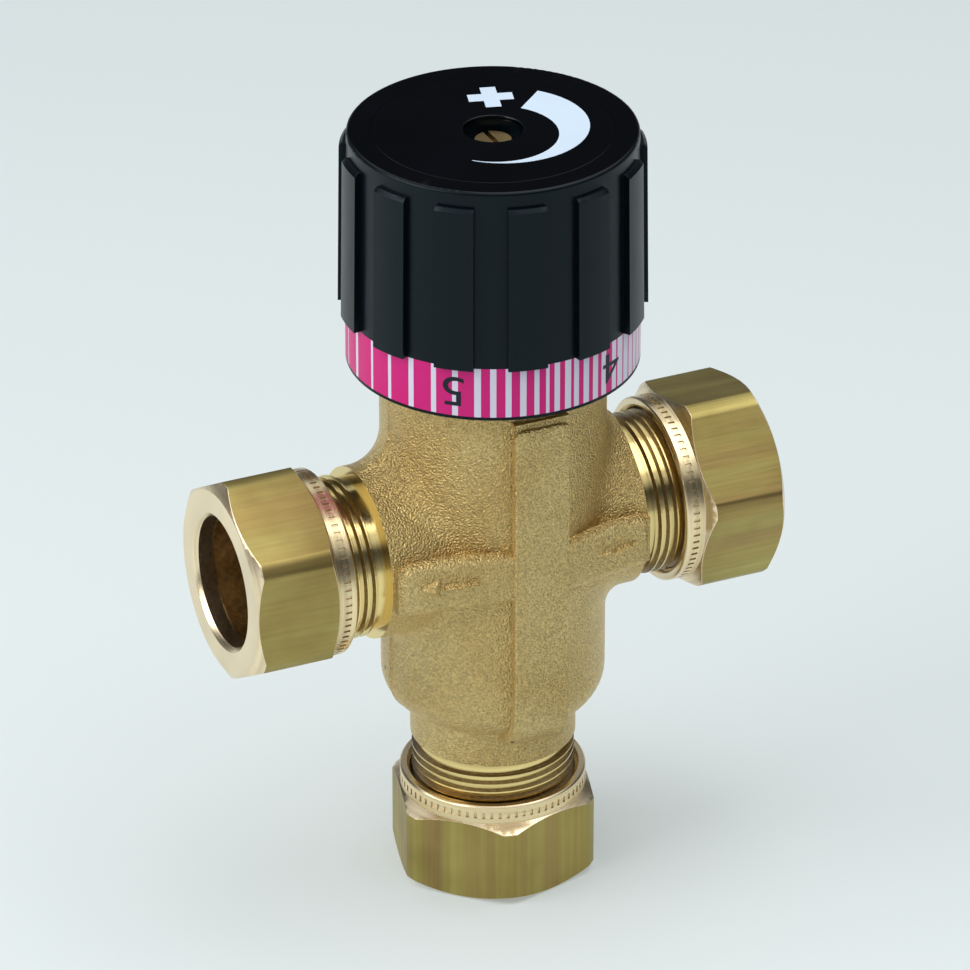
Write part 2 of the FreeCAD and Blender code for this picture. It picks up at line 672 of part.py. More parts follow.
bonnet_turned = new_body("BonnetTurned")
bonnet_points = [
    (dim.gland_bore, dim.bonnet_bottom),
    (dim.bonnet_thread_radius - dim.bonnet_lead_in, dim.bonnet_bottom),
    (dim.bonnet_thread_radius, dim.bonnet_bottom + dim.bonnet_lead_in),
    (dim.bonnet_thread_radius, bonnet_shoulder),
    (bonnet_groove, bonnet_shoulder),
    (bonnet_groove, dim.barrel_top),
    (dim.bonnet_thread_radius, dim.barrel_top),
    (dim.bonnet_thread_radius, flange_top),
    (dim.bonnet_neck_radius, flange_top),
    (dim.bonnet_neck_radius, neck_end),
    (dim.gland_radius, neck_end),
    (dim.gland_radius, gland_top),
    (dim.gland_bore, gland_top),
]
turned(bonnet_turned, bonnet_points, "BonnetCore")
stop_points = [
    (dim.guide_flats / 2, dim.barrel_top),
    (dim.stop_outer, dim.barrel_top),
    (dim.stop_outer, flange_top + dim.stop_height),
    (dim.guide_flats / 2, flange_top + dim.stop_height),
]
stop_sketch = outline(new_sketch(bonnet_turned, "YZ_Plane", "Stop_profile"), stop_points)
revolve(bonnet_turned, stop_sketch, "V_Axis", "StopSector", angle=dim.stop_angle)
flange = prism(
    "BonnetHexagon", dim.bonnet_flange_flats, dim.barrel_top, dim.bonnet_flange_height
)
gland_hole = doc.addObject("Part::Cylinder", "GlandHole")
gland_hole.setExpression("Radius", dim.gland_bore.formula)
gland_hole.setExpression("Height", dim.guide_top.formula)
guide = prism(
    "GuideHexagon", dim.guide_flats, dim.bonnet_bottom, dim.guide_top - dim.bonnet_bottom
)
bonnet_solid = combine("Fuse", "BonnetSolid", bonnet_turned, flange)
bonnet_bored = combine("Cut", "BonnetBored", bonnet_solid, gland_hole)
bonnet = combine("Cut", "Bonnet", bonnet_bored, guide)
place(bonnet, z=AXIS_HEIGHT)
turn_about_z(bonnet, dim.bonnet_turn)
finish(bonnet, "bonnet")


def seal(label, outer_radius, section, height, lift=AXIS_HEIGHT):
    """A round-section seal ring under an outer radius, with its own small clearance."""
    body = new_body(label + "_moulded")
    sketch = new_sketch(body, "XZ_Plane", label + "_section")
    middle = outer_radius - section / 2 - dim.seat_clearance
    circle(sketch, section / 2, (middle, height))
    revolve(body, sketch, "V_Axis", label + "_ring")
    place(body, z=lift)
    finish(body, label)


def open_ring(label, inner, outer, foot, height):
    """A spring-steel ring with a gap, seated in a groove."""
    body = new_body(label + "_formed")
    sketch = outline(
        new_sketch(body, "XZ_Plane", label + "_section"),
        [(inner, foot), (outer, foot), (outer, foot + height), (inner, foot + height)],
    )
    closed = fixed(360) - dim.clip_opening
    revolve(body, sketch, "V_Axis", label + "_ring", angle=closed)
    place(body, z=AXIS_HEIGHT)
    finish(body, label)


seal(
    "bonnet_seal",
    dim.gasket_bore_radius,
    dim.seal_section,
    dim.barrel_top - dim.seal_section / 2 - dim.seat_clearance,
)

# ---------------------------------------------------------------- spindle
# Turned brass, slipped into the gland from below and held by a clip. Its thrust collar bears under
# the gland, so it turns without rising. Its left-hand stem drives the adjusting nut.

collar_top = dim.guide_top - dim.running_clearance
clip_foot = gland_top + dim.running_clearance
drive_foot = clip_foot + dim.clip_width + dim.running_clearance
shaft_radius = dim.gland_bore - dim.running_clearance
seal_groove_radius = dim.gland_bore - dim.stem_seal_section - dim.seat_clearance * 2
groove_width = dim.stem_seal_section + dim.seat_clearance * 4
lower_groove = (dim.guide_top + gland_top - dim.stem_seal_pitch) / 2
upper_groove = lower_groove + dim.stem_seal_pitch
drive_radius = Size(
    value(dim.drive_flats) / 2 / math.cos(math.pi / 6),
    f"({dim.drive_flats.formula} / 2 / cos(30 deg))",
)

spindle_turned = new_body("SpindleTurned")


def groove_steps(radius, floor, foot, width):
    return [(radius, foot), (floor, foot), (floor, foot + width), (radius, foot + width)]


spindle_points = [
    (ZERO, dim.stem_bottom),
    (dim.stem_thread_radius - dim.bonnet_lead_in, dim.stem_bottom),
    (dim.stem_thread_radius, dim.stem_bottom + dim.bonnet_lead_in),
    (dim.stem_thread_radius, collar_top - dim.thrust_height),
    (dim.thrust_radius, collar_top - dim.thrust_height),
    (dim.thrust_radius, collar_top),
    (shaft_radius, collar_top),
]
spindle_points += groove_steps(
    shaft_radius, seal_groove_radius, lower_groove - groove_width / 2, groove_width
)
spindle_points += groove_steps(
    shaft_radius, seal_groove_radius, upper_groove - groove_width / 2, groove_width
)
spindle_points += groove_steps(
    shaft_radius, dim.clip_groove_radius, clip_foot, dim.clip_width + dim.seat_clearance
)
spindle_points += [
    (shaft_radius, drive_foot),
    (drive_radius, drive_foot),
    (drive_radius, dim.drive_top),
    (dim.screw_radius + dim.seat_clearance, dim.drive_top),
    (
        dim.screw_radius + dim.seat_clearance,
        dim.recess_floor + dim.washer_height - dim.screw_length - dim.tip_room,
    ),
    (ZERO, dim.recess_floor + dim.washer_height - dim.screw_length - dim.tip_room),
]
turned(spindle_turned, spindle_points, "SpindleCore")
drive_blank = doc.addObject("Part::Cylinder", "DriveBlank")
drive_blank.setExpression("Radius", dim.thrust_radius.formula)
drive_blank.setExpression("Height", (dim.drive_top - drive_foot).formula)
place(drive_blank, z=drive_foot)
drive_bar = prism("DriveBar", dim.drive_flats, drive_foot, dim.drive_top - drive_foot)
drive_waste = combine("Cut", "DriveWaste", drive_blank, drive_bar)
spindle = combine("Cut", "Spindle", spindle_turned, drive_waste)
place(spindle, z=AXIS_HEIGHT)
turn_about_z(spindle, dim.knob_turn)
finish(spindle, "spindle")

seal("spindle_seal_lower", dim.gland_bore, dim.stem_seal_section, lower_groove)
seal("spindle_seal_upper", dim.gland_bore, dim.stem_seal_section, upper_groove)
open_ring(
    "spindle_clip",
    dim.clip_groove_radius + dim.seat_clearance,
    dim.clip_radius,
    clip_foot + dim.seat_clearance / 2,
    dim.clip_width,
)

# ---------------------------------------------------------------- adjusting nut and overload spring
# The hexagonal nut climbs the turning stem inside the bonnet's guide. Its pocket holds the overload
# spring over a cap, which a snap ring keeps in and on which the element's piston pushes.

pocket_top = dim.adjuster_top - dim.adjuster_web
snap_foot = dim.adjuster_bottom + dim.snap_ring_lift
snap_top = snap_foot + dim.snap_ring_height
snap_groove = dim.snap_ring_radius + dim.seat_clearance
nut_thread_bore = dim.stem_thread_radius + dim.running_clearance

adjuster_bar = prism(
    "AdjusterBar", dim.adjuster_flats, dim.adjuster_bottom, dim.adjuster_top - dim.adjuster_bottom
)
adjuster_hole = new_body("AdjusterHole")
hole_points = [
    (ZERO, dim.adjuster_bottom),
    (dim.adjuster_bore, dim.adjuster_bottom),
    (dim.adjuster_bore, snap_foot),
    (snap_groove, snap_foot),
    (snap_groove, snap_top),
    (dim.adjuster_bore, snap_top),
    (dim.adjuster_bore, pocket_top),
    (nut_thread_bore, pocket_top),
    (nut_thread_bore, dim.adjuster_top),
    (ZERO, dim.adjuster_top),
]
turned(adjuster_hole, hole_points, "AdjusterHoleCore")
adjuster = combine("Cut", "AdjustingNut", adjuster_bar, adjuster_hole)
place(adjuster, z=AXIS_HEIGHT)
turn_about_z(adjuster, dim.bonnet_turn)
finish(adjuster, "adjusting_nut")

open_ring(
    "snap_ring", dim.snap_ring_inner, dim.snap_ring_radius, snap_foot, dim.snap_ring_height
)

cap_foot = snap_top + dim.seat_clearance
cap_top = cap_foot + dim.cap_height
boss_foot = cap_foot - dim.cap_boss_height
piston_tip = cap_foot + dim.cap_height / 4
cap = new_body("SpringCap")
cap_points = [
    (dim.piston_radius + dim.running_clearance, boss_foot),
    (dim.cap_boss_radius, boss_foot),
    (dim.cap_boss_radius, cap_foot),
    (dim.adjuster_bore - dim.running_clearance, cap_foot),
    (dim.adjuster_bore - dim.running_clearance, cap_top),
    (ZERO, cap_top),
    (ZERO, piston_tip),
    (dim.piston_radius + dim.running_clearance, piston_tip),
]
turned(cap, cap_points, "SpringCapCore")
place(cap, z=AXIS_HEIGHT)
finish(cap, "spring_cap")


def coil_spring(label, mean_radius, wire, foot, top, turns):
    """A cold-wound spring between two seats."""
    body = new_body(label + "_wound")
    sketch = new_sketch(body, "XZ_Plane", label + "_wire")
    start = foot + wire / 2 + dim.seat_clearance
    circle(sketch, wire / 2, (mean_radius, start))
    coil = body.newObject("PartDesign::AdditiveHelix", label + "_helix")
    coil.Profile = sketch
    coil.ReferenceAxis = (sketch, ["V_Axis"])
    coil.Mode = "height-turns-angle"
    coil.setExpression("Height", (top - foot - wire - dim.seat_clearance * 2).formula)
    coil.setExpression("Turns", turns.formula)
    doc.recompute()
    place(body, z=AXIS_HEIGHT)
    finish(body, label)


coil_spring(
    "overload_spring",
    dim.adjuster_bore - dim.overload_wire / 2 - dim.bedding_gap,
    dim.overload_wire,
    cap_top,
    pocket_top,
    dim.overload_turns,
)

# ---------------------------------------------------------------- expansion element
# A brass cup of wax in the mixed water. Warm wax drives the cup away from its piston, and with it
# the two valve discs: the upper one towards the hot seat, the lower one off the cold seat.

hot_disc_foot = dim.hot_seat_top + dim.hot_gap
hot_disc_top = hot_disc_foot + dim.hot_disc_height
flange_end = hot_disc_top + dim.element_flange_height
element_top = flange_end + dim.element_neck_height
cup_foot = hot_disc_foot - dim.element_cup_length
cold_disc_top = cold_seat_foot - dim.cold_gap
cold_disc_foot = cold_disc_top - dim.cold_disc_height
stem_foot = cold_disc_foot - dim.cap_height
piston_foot = piston_tip - dim.piston_buried
piston_bore = dim.piston_radius + dim.running_clearance

element = new_body("Element")
element_points = [
    (ZERO, stem_foot),
    (dim.element_stem_radius, stem_foot),
    (dim.element_stem_radius, cup_foot),
    (dim.element_cup_radius - dim.bonnet_lead_in, cup_foot),
    (dim.element_cup_radius, cup_foot + dim.bonnet_lead_in),
    (dim.element_cup_radius, hot_disc_top),
    (dim.element_flange_radius, hot_disc_top),
    (dim.element_flange_radius, flange_end),
    (dim.element_neck_radius, flange_end),
    (dim.element_neck_radius, element_top),
    (piston_bore, element_top),
    (piston_bore, piston_foot - dim.tip_room),
    (ZERO, piston_foot - dim.tip_room),
]
turned(element, element_points, "ElementCore")
place(element, z=AXIS_HEIGHT)
finish(element, "wax_element")

piston = new_body("Piston")
piston_points = [
    (ZERO, piston_foot),
    (dim.piston_radius, piston_foot),
    (dim.piston_radius, piston_tip - dim.seat_clearance),
    (ZERO, piston_tip - dim.seat_clearance),
]
turned(piston, piston_points, "PistonCore")
place(piston, z=AXIS_HEIGHT)
finish(piston, "element_piston")

ring(
    "hot_disc",
    dim.element_cup_radius + dim.seat_clearance,
    dim.hot_disc_radius,
    hot_disc_foot,
    hot_disc_top,
)

cold_disc = new_body("ColdDisc")
hub_foot = cold_disc_foot - dim.cold_hub_length
cold_disc_points = [
    (ZERO, hub_foot),
    (dim.cold_hub_radius, hub_foot),
    (dim.cold_hub_radius, cold_disc_foot),
    (dim.cold_disc_radius, cold_disc_foot),
    (dim.cold_disc_radius, cold_disc_top),
    (dim.element_stem_radius + dim.seat_clearance, cold_disc_top),
    (dim.element_stem_radius + dim.seat_clearance, stem_foot - dim.seat_clearance),
    (ZERO, stem_foot - dim.seat_clearance),
]
turned(cold_disc, cold_disc_points, "ColdDiscCore")
place(cold_disc, z=AXIS_HEIGHT)
finish(cold_disc, "cold_disc")

# ---------------------------------------------------------------- return spring and its retainer
# The spring lifts the lower disc. It stands on a three-armed retainer, clipped into the lower bore,
# whose hub guides the disc.

coil_spring(
    "return_spring",
    dim.return_radius,
    dim.return_wire,
    -dim.spider_top,
    cold_disc_foot,
    dim.return_turns,
)

spider = new_body("Spider")
spider_bore_radius = dim.cold_hub_radius + dim.running_clearance
turned(
    spider,
    [
        (spider_bore_radius, spider_foot),
        (dim.spider_hub_radius, spider_foot),
        (dim.spider_hub_radius, -dim.spider_top),
        (spider_bore_radius, -dim.spider_top),
    ],
    "SpiderHub",
)
arm_middle = dim.spider_arm / 2
arm_sketch = outline(
    new_sketch(spider, "XZ_Plane", "Arm_profile"),
    [
        (dim.spider_hub_radius - arm_middle / 2, spider_foot),
        (dim.spider_radius - dim.spider_rim / 2, spider_foot),
        (dim.spider_radius - dim.spider_rim / 2, -dim.spider_top),
        (dim.spider_hub_radius - arm_middle / 2, -dim.spider_top),
    ],
)
arm = pad(spider, arm_sketch, dim.spider_arm, "Arm", midplane=True)
around(spider, [arm], dim.spider_arm_count, "Arms")
rim_sketch = outline(
    new_sketch(spider, "XZ_Plane", "Rim_profile"),
    [
        (dim.spider_radius - dim.spider_rim, spider_foot),
        (dim.spider_radius, spider_foot),
        (dim.spider_radius, -dim.spider_top),
        (dim.spider_radius - dim.spider_rim, -dim.spider_top),
    ],
)
revolve(spider, rim_sketch, "V_Axis", "Rim")
place(spider, z=AXIS_HEIGHT)
finish(spider, "spring_retainer")

open_ring(
    "retainer_clip",
    dim.spider_clip_inner,
    dim.spider_clip_radius,
    spider_foot - dim.clip_width,
    dim.clip_width,
)

# ---------------------------------------------------------------- knob
# One moulding: a ribbed cup with a hub over the spindle's hexagon. The scale band sits round its
# skirt, an inlaid disc on its face, and a screw in the centre holds it on the spindle.

hub_bore_top = dim.drive_top + dim.bedding_gap
hub_clearance_flats = dim.drive_flats + dim.running_clearance * 2
ceiling = dim.knob_top - dim.knob_top_wall
lip_top = dim.knob_lip + dim.knob_lip_height
disc_seat = dim.knob_top - dim.disc_height
screw_hole = dim.screw_radius + dim.bedding_gap

knob_moulding = new_body("KnobMoulding")
knob_points = [
    (dim.knob_cavity_radius, dim.knob_lip),
    (dim.band_radius, dim.knob_lip),
    (dim.band_radius, lip_top),
    (dim.band_inner, lip_top),
    (dim.band_inner, dim.knob_foot),
    (dim.knob_foot_radius, dim.knob_foot),
    (dim.knob_top_radius, dim.knob_top),
    (dim.disc_radius + dim.seat_clearance, dim.knob_top),
    (dim.disc_radius + dim.seat_clearance, disc_seat),
    (dim.recess_radius, disc_seat),
    (dim.recess_radius, dim.recess_floor),
    (screw_hole, dim.recess_floor),
    (screw_hole, dim.knob_hub_bottom),
    (dim.knob_hub_radius, dim.knob_hub_bottom),
    (dim.knob_hub_radius, ceiling),
    (dim.knob_cavity_radius, ceiling),
]
turned(knob_moulding, knob_points, "KnobCup")

rib_points = [
    (dim.knob_cavity_radius + dim.knob_top_wall / 2, dim.knob_foot),
    (dim.rib_foot_radius, dim.knob_foot),
    (dim.rib_top_radius, dim.rib_top - dim.rib_chamfer),
    (dim.rib_top_radius - dim.rib_chamfer, dim.rib_top),
    (dim.knob_cavity_radius + dim.knob_top_wall / 2, dim.rib_top),
]
rib_sketch = outline(new_sketch(knob_moulding, "XZ_Plane", "Rib_profile"), rib_points)
rib = revolve(knob_moulding, rib_sketch, "V_Axis", "Rib", angle=dim.rib_angle)
around(knob_moulding, [rib], dim.rib_count, "Ribs")

web_points = [
    (dim.knob_hub_radius - dim.web_width / 2, dim.web_bottom),
    (dim.knob_cavity_radius + dim.web_width / 2, dim.web_bottom),
    (dim.knob_cavity_radius + dim.web_width / 2, ceiling + dim.web_width / 2),
    (dim.knob_hub_radius - dim.web_width / 2, ceiling + dim.web_width / 2),
]
web_sketch = outline(new_sketch(knob_moulding, "XZ_Plane", "Web_profile"), web_points)
web = pad(knob_moulding, web_sketch, dim.web_width, "Web", midplane=True)
around(knob_moulding, [web], dim.web_count, "Webs")

lug_points = [
    (dim.lug_inner, dim.lug_bottom),
    (dim.knob_cavity_radius + dim.web_width / 2, dim.lug_bottom),
    (dim.knob_cavity_radius + dim.web_width / 2, dim.lug_bottom + dim.lug_height * 2),
    (dim.lug_inner, dim.lug_bottom + dim.lug_height),
]
lug_sketch = outline(new_sketch(knob_moulding, "XZ_Plane", "Lug_profile"), lug_points)
revolve(knob_moulding, lug_sketch, "V_Axis", "StopLug", angle=dim.lug_angle)

top_edge = [
    f"Edge{number}"
    for number, edge in enumerate(knob_moulding.Tip.Shape.Edges, start=1)
    if isinstance(edge.Curve, Part.Circle)
    and abs(edge.Curve.Radius - value(dim.knob_top_radius)) < 0.01
    and abs(edge.BoundBox.Center.z - value(dim.knob_top)) < 0.01
]
edge_round = knob_moulding.newObject("PartDesign::Fillet", "KnobEdge")
edge_round.Base = (doc.getObject("StopLug"), top_edge)
edge_round.setExpression("Radius", dim.knob_edge_radius.formula)
doc.recompute()

hub_socket = prism(
    "HubSocket", hub_clearance_flats, dim.knob_hub_bottom, hub_bore_top - dim.knob_hub_bottom
)
knob = combine("Cut", "Knob", knob_moulding, hub_socket)
place(knob, z=AXIS_HEIGHT)
turn_about_z(knob, dim.knob_turn)
finish(knob, "knob")

ring(
    "scale_band",
    dim.band_inner + dim.seat_clearance,
    dim.band_radius,
    lip_top + dim.seat_clearance,
    dim.knob_foot - dim.seat_clearance,
)
ring("face_disc", dim.recess_radius, dim.disc_radius, disc_seat, dim.knob_top)

washer_top = dim.recess_floor + dim.washer_height
ring("screw_washer", screw_hole, dim.washer_radius, dim.recess_floor, washer_top)

screw = new_body("Screw")
screw_foot = washer_top - dim.screw_length
head_top = washer_top + dim.screw_head_height
screw_points = [
    (ZERO, screw_foot),
    (dim.screw_radius, screw_foot),
    (dim.screw_radius, washer_top),
    (dim.screw_head_radius, washer_top),
    (dim.screw_head_radius, head_top - dim.screw_slot_depth / 2),
    (dim.screw_head_radius - dim.screw_slot_depth / 2, head_top),
    (ZERO, head_top),
]
turned(screw, screw_points, "ScrewCore")
slot_sketch = outline(
    new_sketch(screw, "XZ_Plane", "Slot_profile"),
    [
        (-dim.screw_slot / 2, head_top - dim.screw_slot_depth),
        (dim.screw_slot / 2, head_top - dim.screw_slot_depth),
        (dim.screw_slot / 2, head_top + dim.screw_slot_depth),
        (-dim.screw_slot / 2, head_top + dim.screw_slot_depth),
    ],
)
pocket(screw, slot_sketch, "DriverSlot", dim.screw_head_radius * 3, midplane=True)
place(screw, z=AXIS_HEIGHT)
finish(screw, "knob_screw")

# ---------------------------------------------------------------- compression nuts and olives
# Drawn hexagonal brass, turned with a round collar behind the hexagon. Modelled from the outer end
# face inwards along +Z, then stood on its port. Each olive lies loose between nut and body cone.

olive_foot = dim.nut_wall + dim.bedding_gap
olive_top = olive_foot + dim.olive_length
thread_bore = dim.port_thread_radius + dim.nut_thread_clearance
nut_bore = dim.pipe_bore_radius + dim.nut_pipe_clearance
chamfer_slope = math.tan(math.radians(30))
collar_start = dim.nut_hexagon_end + (dim.nut_radius - dim.nut_collar_radius) * chamfer_slope
thread_start = dim.nut_wall + dim.olive_taper * 1.6

NUT_PROFILE = [
    (nut_bore + dim.nut_bore_chamfer, ZERO),
    (dim.nut_face_radius, ZERO),
    (dim.nut_radius, dim.nut_face_chamfer),
    (dim.nut_radius, dim.nut_hexagon_end),
    (dim.nut_collar_radius, collar_start),
    (dim.nut_collar_radius, dim.nut_length - dim.nut_collar_chamfer),
    (dim.nut_collar_radius - dim.nut_collar_chamfer, dim.nut_length),
    (dim.nut_mouth_radius, dim.nut_length),
    (thread_bore, dim.nut_length - (dim.nut_mouth_radius - thread_bore)),
    (thread_bore, thread_start),
    (dim.nut_cone_radius, dim.nut_wall + dim.olive_taper),
    (dim.olive_end_radius + dim.bedding_gap, dim.nut_wall),
    (nut_bore, dim.nut_wall),
    (nut_bore, dim.nut_bore_chamfer),
]
OLIVE_PROFILE = [
    (dim.pipe_bore_radius, olive_foot),
    (dim.olive_end_radius, olive_foot),
    (dim.olive_radius, olive_foot + dim.olive_taper),
    (dim.olive_radius, olive_top - dim.olive_taper),
    (dim.olive_end_radius, olive_top),
    (dim.pipe_bore_radius, olive_top),
]

PORTS = {
    "left": (dim.left_port_length, dim.left_nut_turn, FreeCAD.Rotation(FreeCAD.Vector(0, 1, 0), 90)),
    "right": (
        dim.right_port_length,
        dim.right_nut_turn,
        FreeCAD.Rotation(FreeCAD.Vector(0, 1, 0), -90),
    ),
    "bottom": (dim.bottom_port_length, dim.bottom_nut_turn, FreeCAD.Rotation()),
}

for side, (length, turn, rotation) in PORTS.items():
    reach = length + dim.nut_setback
    along = {"left": -reach, "right": reach, "bottom": ZERO}[side]
    lift = ZERO if side == "bottom" else AXIS_HEIGHT

    nut_turned = new_body(side + "_nut_turned")
    turned(nut_turned, NUT_PROFILE, side + "_nut_core")
    bar = prism(side + "_nut_bar", dim.nut_across_flats, ZERO, dim.nut_length, turn)
    nut = combine("Common", side + "_nut_solid", nut_turned, bar)
    place(nut, x=along, z=lift, rotation=rotation)
    finish(nut, side + "_nut")

    olive = new_body(side + "_olive_turned")
    turned(olive, OLIVE_PROFILE, side + "_olive_core")
    place(olive, x=along, z=lift, rotation=rotation)
    finish(olive, side + "_olive")

# ---------------------------------------------------------------- checks and files

doc.recompute()
for item in doc.Objects:
    if "Invalid" in item.State or "Error" in item.State:
        raise RuntimeError(f"{item.Name} failed: {item.State}")

os.makedirs("parts", exist_ok=True)
for label, piece in pieces.items():
    shape = piece.Shape
    if shape.isNull() or not shape.isValid() or len(shape.Solids) != 1:
        raise RuntimeError(f"{label} is not one valid solid")
    shape.exportStep(f"parts/{label}.step")
    print(f"{label:22s} {shape.Volume:10.1f} mm3 {len(shape.Faces):4d} faces")
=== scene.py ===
"""Mixing valve for 22 mm pipe: a brass T-shaped body with three compression nuts, and a black ribbed
temperature knob with a printed scale band over a wax-element cartridge."""
import json
import math

import bmesh
import bpy
from mathutils import Matrix, Vector


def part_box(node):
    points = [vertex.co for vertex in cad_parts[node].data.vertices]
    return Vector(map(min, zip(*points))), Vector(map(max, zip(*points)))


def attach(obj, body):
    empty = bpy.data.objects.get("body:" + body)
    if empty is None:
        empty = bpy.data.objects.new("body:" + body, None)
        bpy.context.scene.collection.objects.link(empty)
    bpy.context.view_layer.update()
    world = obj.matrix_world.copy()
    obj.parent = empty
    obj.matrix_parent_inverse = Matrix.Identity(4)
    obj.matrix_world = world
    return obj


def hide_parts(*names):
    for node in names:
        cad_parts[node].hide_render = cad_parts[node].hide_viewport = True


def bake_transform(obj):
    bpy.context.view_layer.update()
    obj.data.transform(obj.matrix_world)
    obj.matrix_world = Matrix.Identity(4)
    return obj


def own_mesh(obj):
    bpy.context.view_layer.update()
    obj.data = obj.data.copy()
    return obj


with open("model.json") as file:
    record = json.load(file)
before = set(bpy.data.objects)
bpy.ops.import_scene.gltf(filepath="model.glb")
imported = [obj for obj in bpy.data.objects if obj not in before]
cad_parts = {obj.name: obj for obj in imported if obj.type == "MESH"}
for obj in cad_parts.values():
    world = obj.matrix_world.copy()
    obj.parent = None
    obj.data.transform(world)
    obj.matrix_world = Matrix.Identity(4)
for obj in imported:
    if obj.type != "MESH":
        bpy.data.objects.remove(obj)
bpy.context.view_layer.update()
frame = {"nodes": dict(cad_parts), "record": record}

# ======================================================================== valve body
# One brass casting, blasted to an even grain. Its three ports are machined bright behind a flat
# shoulder and carry a 28 mm thread of 1.5 mm pitch, and its bores are machined from each end.

MM = 0.001
mounts = {mount["name"]: mount for mount in frame["record"]["mounts"]}
PORT_AXIS_Z = mounts["hot_inlet"]["pos_m"][2]
body_low, body_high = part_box("body")

THREAD_PITCH = 1.5 * MM
THREAD_CREST = 13.9 * MM
THREAD_ROOT = 13.15 * MM
THREAD_CORNERS = (0.18, 0.42, 0.56, 0.80)
THREAD_STEPS = 112
SHOULDERS = {"left": 24.8 * MM, "right": 22.05 * MM, "bottom": 39.3 * MM}
RELIEF_WIDTH = 1.9 * MM
PORT_ENDS = {
    "left": -body_low[0],
    "right": body_high[0],
    "bottom": PORT_AXIS_Z - body_low[2],
}
PORT_AXES = {
    "left": Vector((-1, 0, 0)),
    "right": Vector((1, 0, 0)),
    "bottom": Vector((0, 0, -1)),
}
VALVE_CENTRE = Vector((0, 0, PORT_AXIS_Z))


def node(tree, kind, **settings):
    """Add a node; settings that name an input are its value or the socket to link to it."""
    made = tree.nodes.new(kind)
    for name, value in settings.items():
        if hasattr(made, name) and name not in made.inputs:
            setattr(made, name, value)
    for name, value in settings.items():
        if isinstance(value, bpy.types.NodeSocket):
            key = int(name[5:]) if name.startswith("input") else name.replace("_", " ")
            tree.links.new(value, made.inputs[key])
        elif name.startswith("input"):
            made.inputs[int(name[5:])].default_value = value
        elif name.replace("_", " ") in made.inputs:
            made.inputs[name.replace("_", " ")].default_value = value
    return made


def math_node(tree, operation, first, second=0.0, third=0.0):
    made = node(tree, "ShaderNodeMath", operation=operation)
    for socket, value in zip(made.inputs, (first, second, third)):
        if isinstance(value, bpy.types.NodeSocket):
            tree.links.new(value, socket)
        else:
            socket.default_value = value
    return made.outputs[0]


def ramp(tree, factor, *stops):
    """A colour ramp with (position, (r, g, b)) or (position, grey) stops."""
    made = tree.nodes.new("ShaderNodeValToRGB")
    while len(made.color_ramp.elements) < len(stops):
        made.color_ramp.elements.new(0.5)
    for element, (position, colour) in zip(made.color_ramp.elements, stops):
        element.position = position
        rgb = (colour, colour, colour) if isinstance(colour, (int, float)) else colour
        element.color = (*rgb, 1)
    tree.links.new(factor, made.inputs[0])
    return made.outputs[0]


def new_group(name, inputs, outputs):
    """An empty shader node group with float inputs and the given outputs."""
    group = bpy.data.node_groups.new(name, "ShaderNodeTree")
    for label, default in inputs.items():
        socket = group.interface.new_socket(label, in_out="INPUT", socket_type="NodeSocketFloat")
        socket.default_value = default
    for label in outputs:
        group.interface.new_socket(label, in_out="OUTPUT", socket_type="NodeSocketFloat")
    start = group.nodes.new("NodeGroupInput")
    end = group.nodes.new("NodeGroupOutput")
    return group, start.outputs, end.inputs


def object_place(tree):
    return tree.nodes.new("ShaderNodeTexCoord").outputs["Object"]


def blasted_grain():
    """Fine grain of a blasted or moulded surface: height, grain by grain tone, clouds, sparse pits."""
    group, given, result = new_group(
        "blasted_grain",
        {"Grain Size": 0.35 * MM, "Pit Share": 0.1},
        ("Height", "Tone", "Clouds", "Pits"),
    )
    place = object_place(group)
    scale = math_node(group, "DIVIDE", 1.0, given["Grain Size"])
    fine = node(group, "ShaderNodeTexNoise", Vector=place, Scale=scale, Detail=2.0, Roughness=0.7)
    cells = node(group, "ShaderNodeTexVoronoi", Vector=place, Scale=scale, Randomness=1.0)
    dents = math_node(group, "MULTIPLY_ADD", cells.outputs["Distance"], -1.0, fine.outputs[0])
    shades = node(group, "ShaderNodeSeparateColor", Color=cells.outputs["Color"])
    tone = math_node(group, "MULTIPLY_ADD", shades.outputs[1], 0.35, fine.outputs[0])
    clouds = node(group, "ShaderNodeTexNoise", Vector=place, Scale=60.0, Detail=3.0, Roughness=0.5)
    spots = node(group, "ShaderNodeTexVoronoi", Vector=place, Scale=210.0, Randomness=1.0)
    chance = node(group, "ShaderNodeSeparateColor", Color=spots.outputs["Color"])
    rare = math_node(group, "LESS_THAN", chance.outputs[0], given["Pit Share"])
    near = math_node(group, "LESS_THAN", spots.outputs["Distance"], 0.09)
    pits = math_node(group, "MULTIPLY", rare, near)
    sunk = math_node(group, "MULTIPLY_ADD", pits, -0.8, dents)
    group.links.new(sunk, result["Height"])
    group.links.new(tone, result["Tone"])
    group.links.new(clouds.outputs[0], result["Clouds"])
    group.links.new(pits, result["Pits"])
    return group


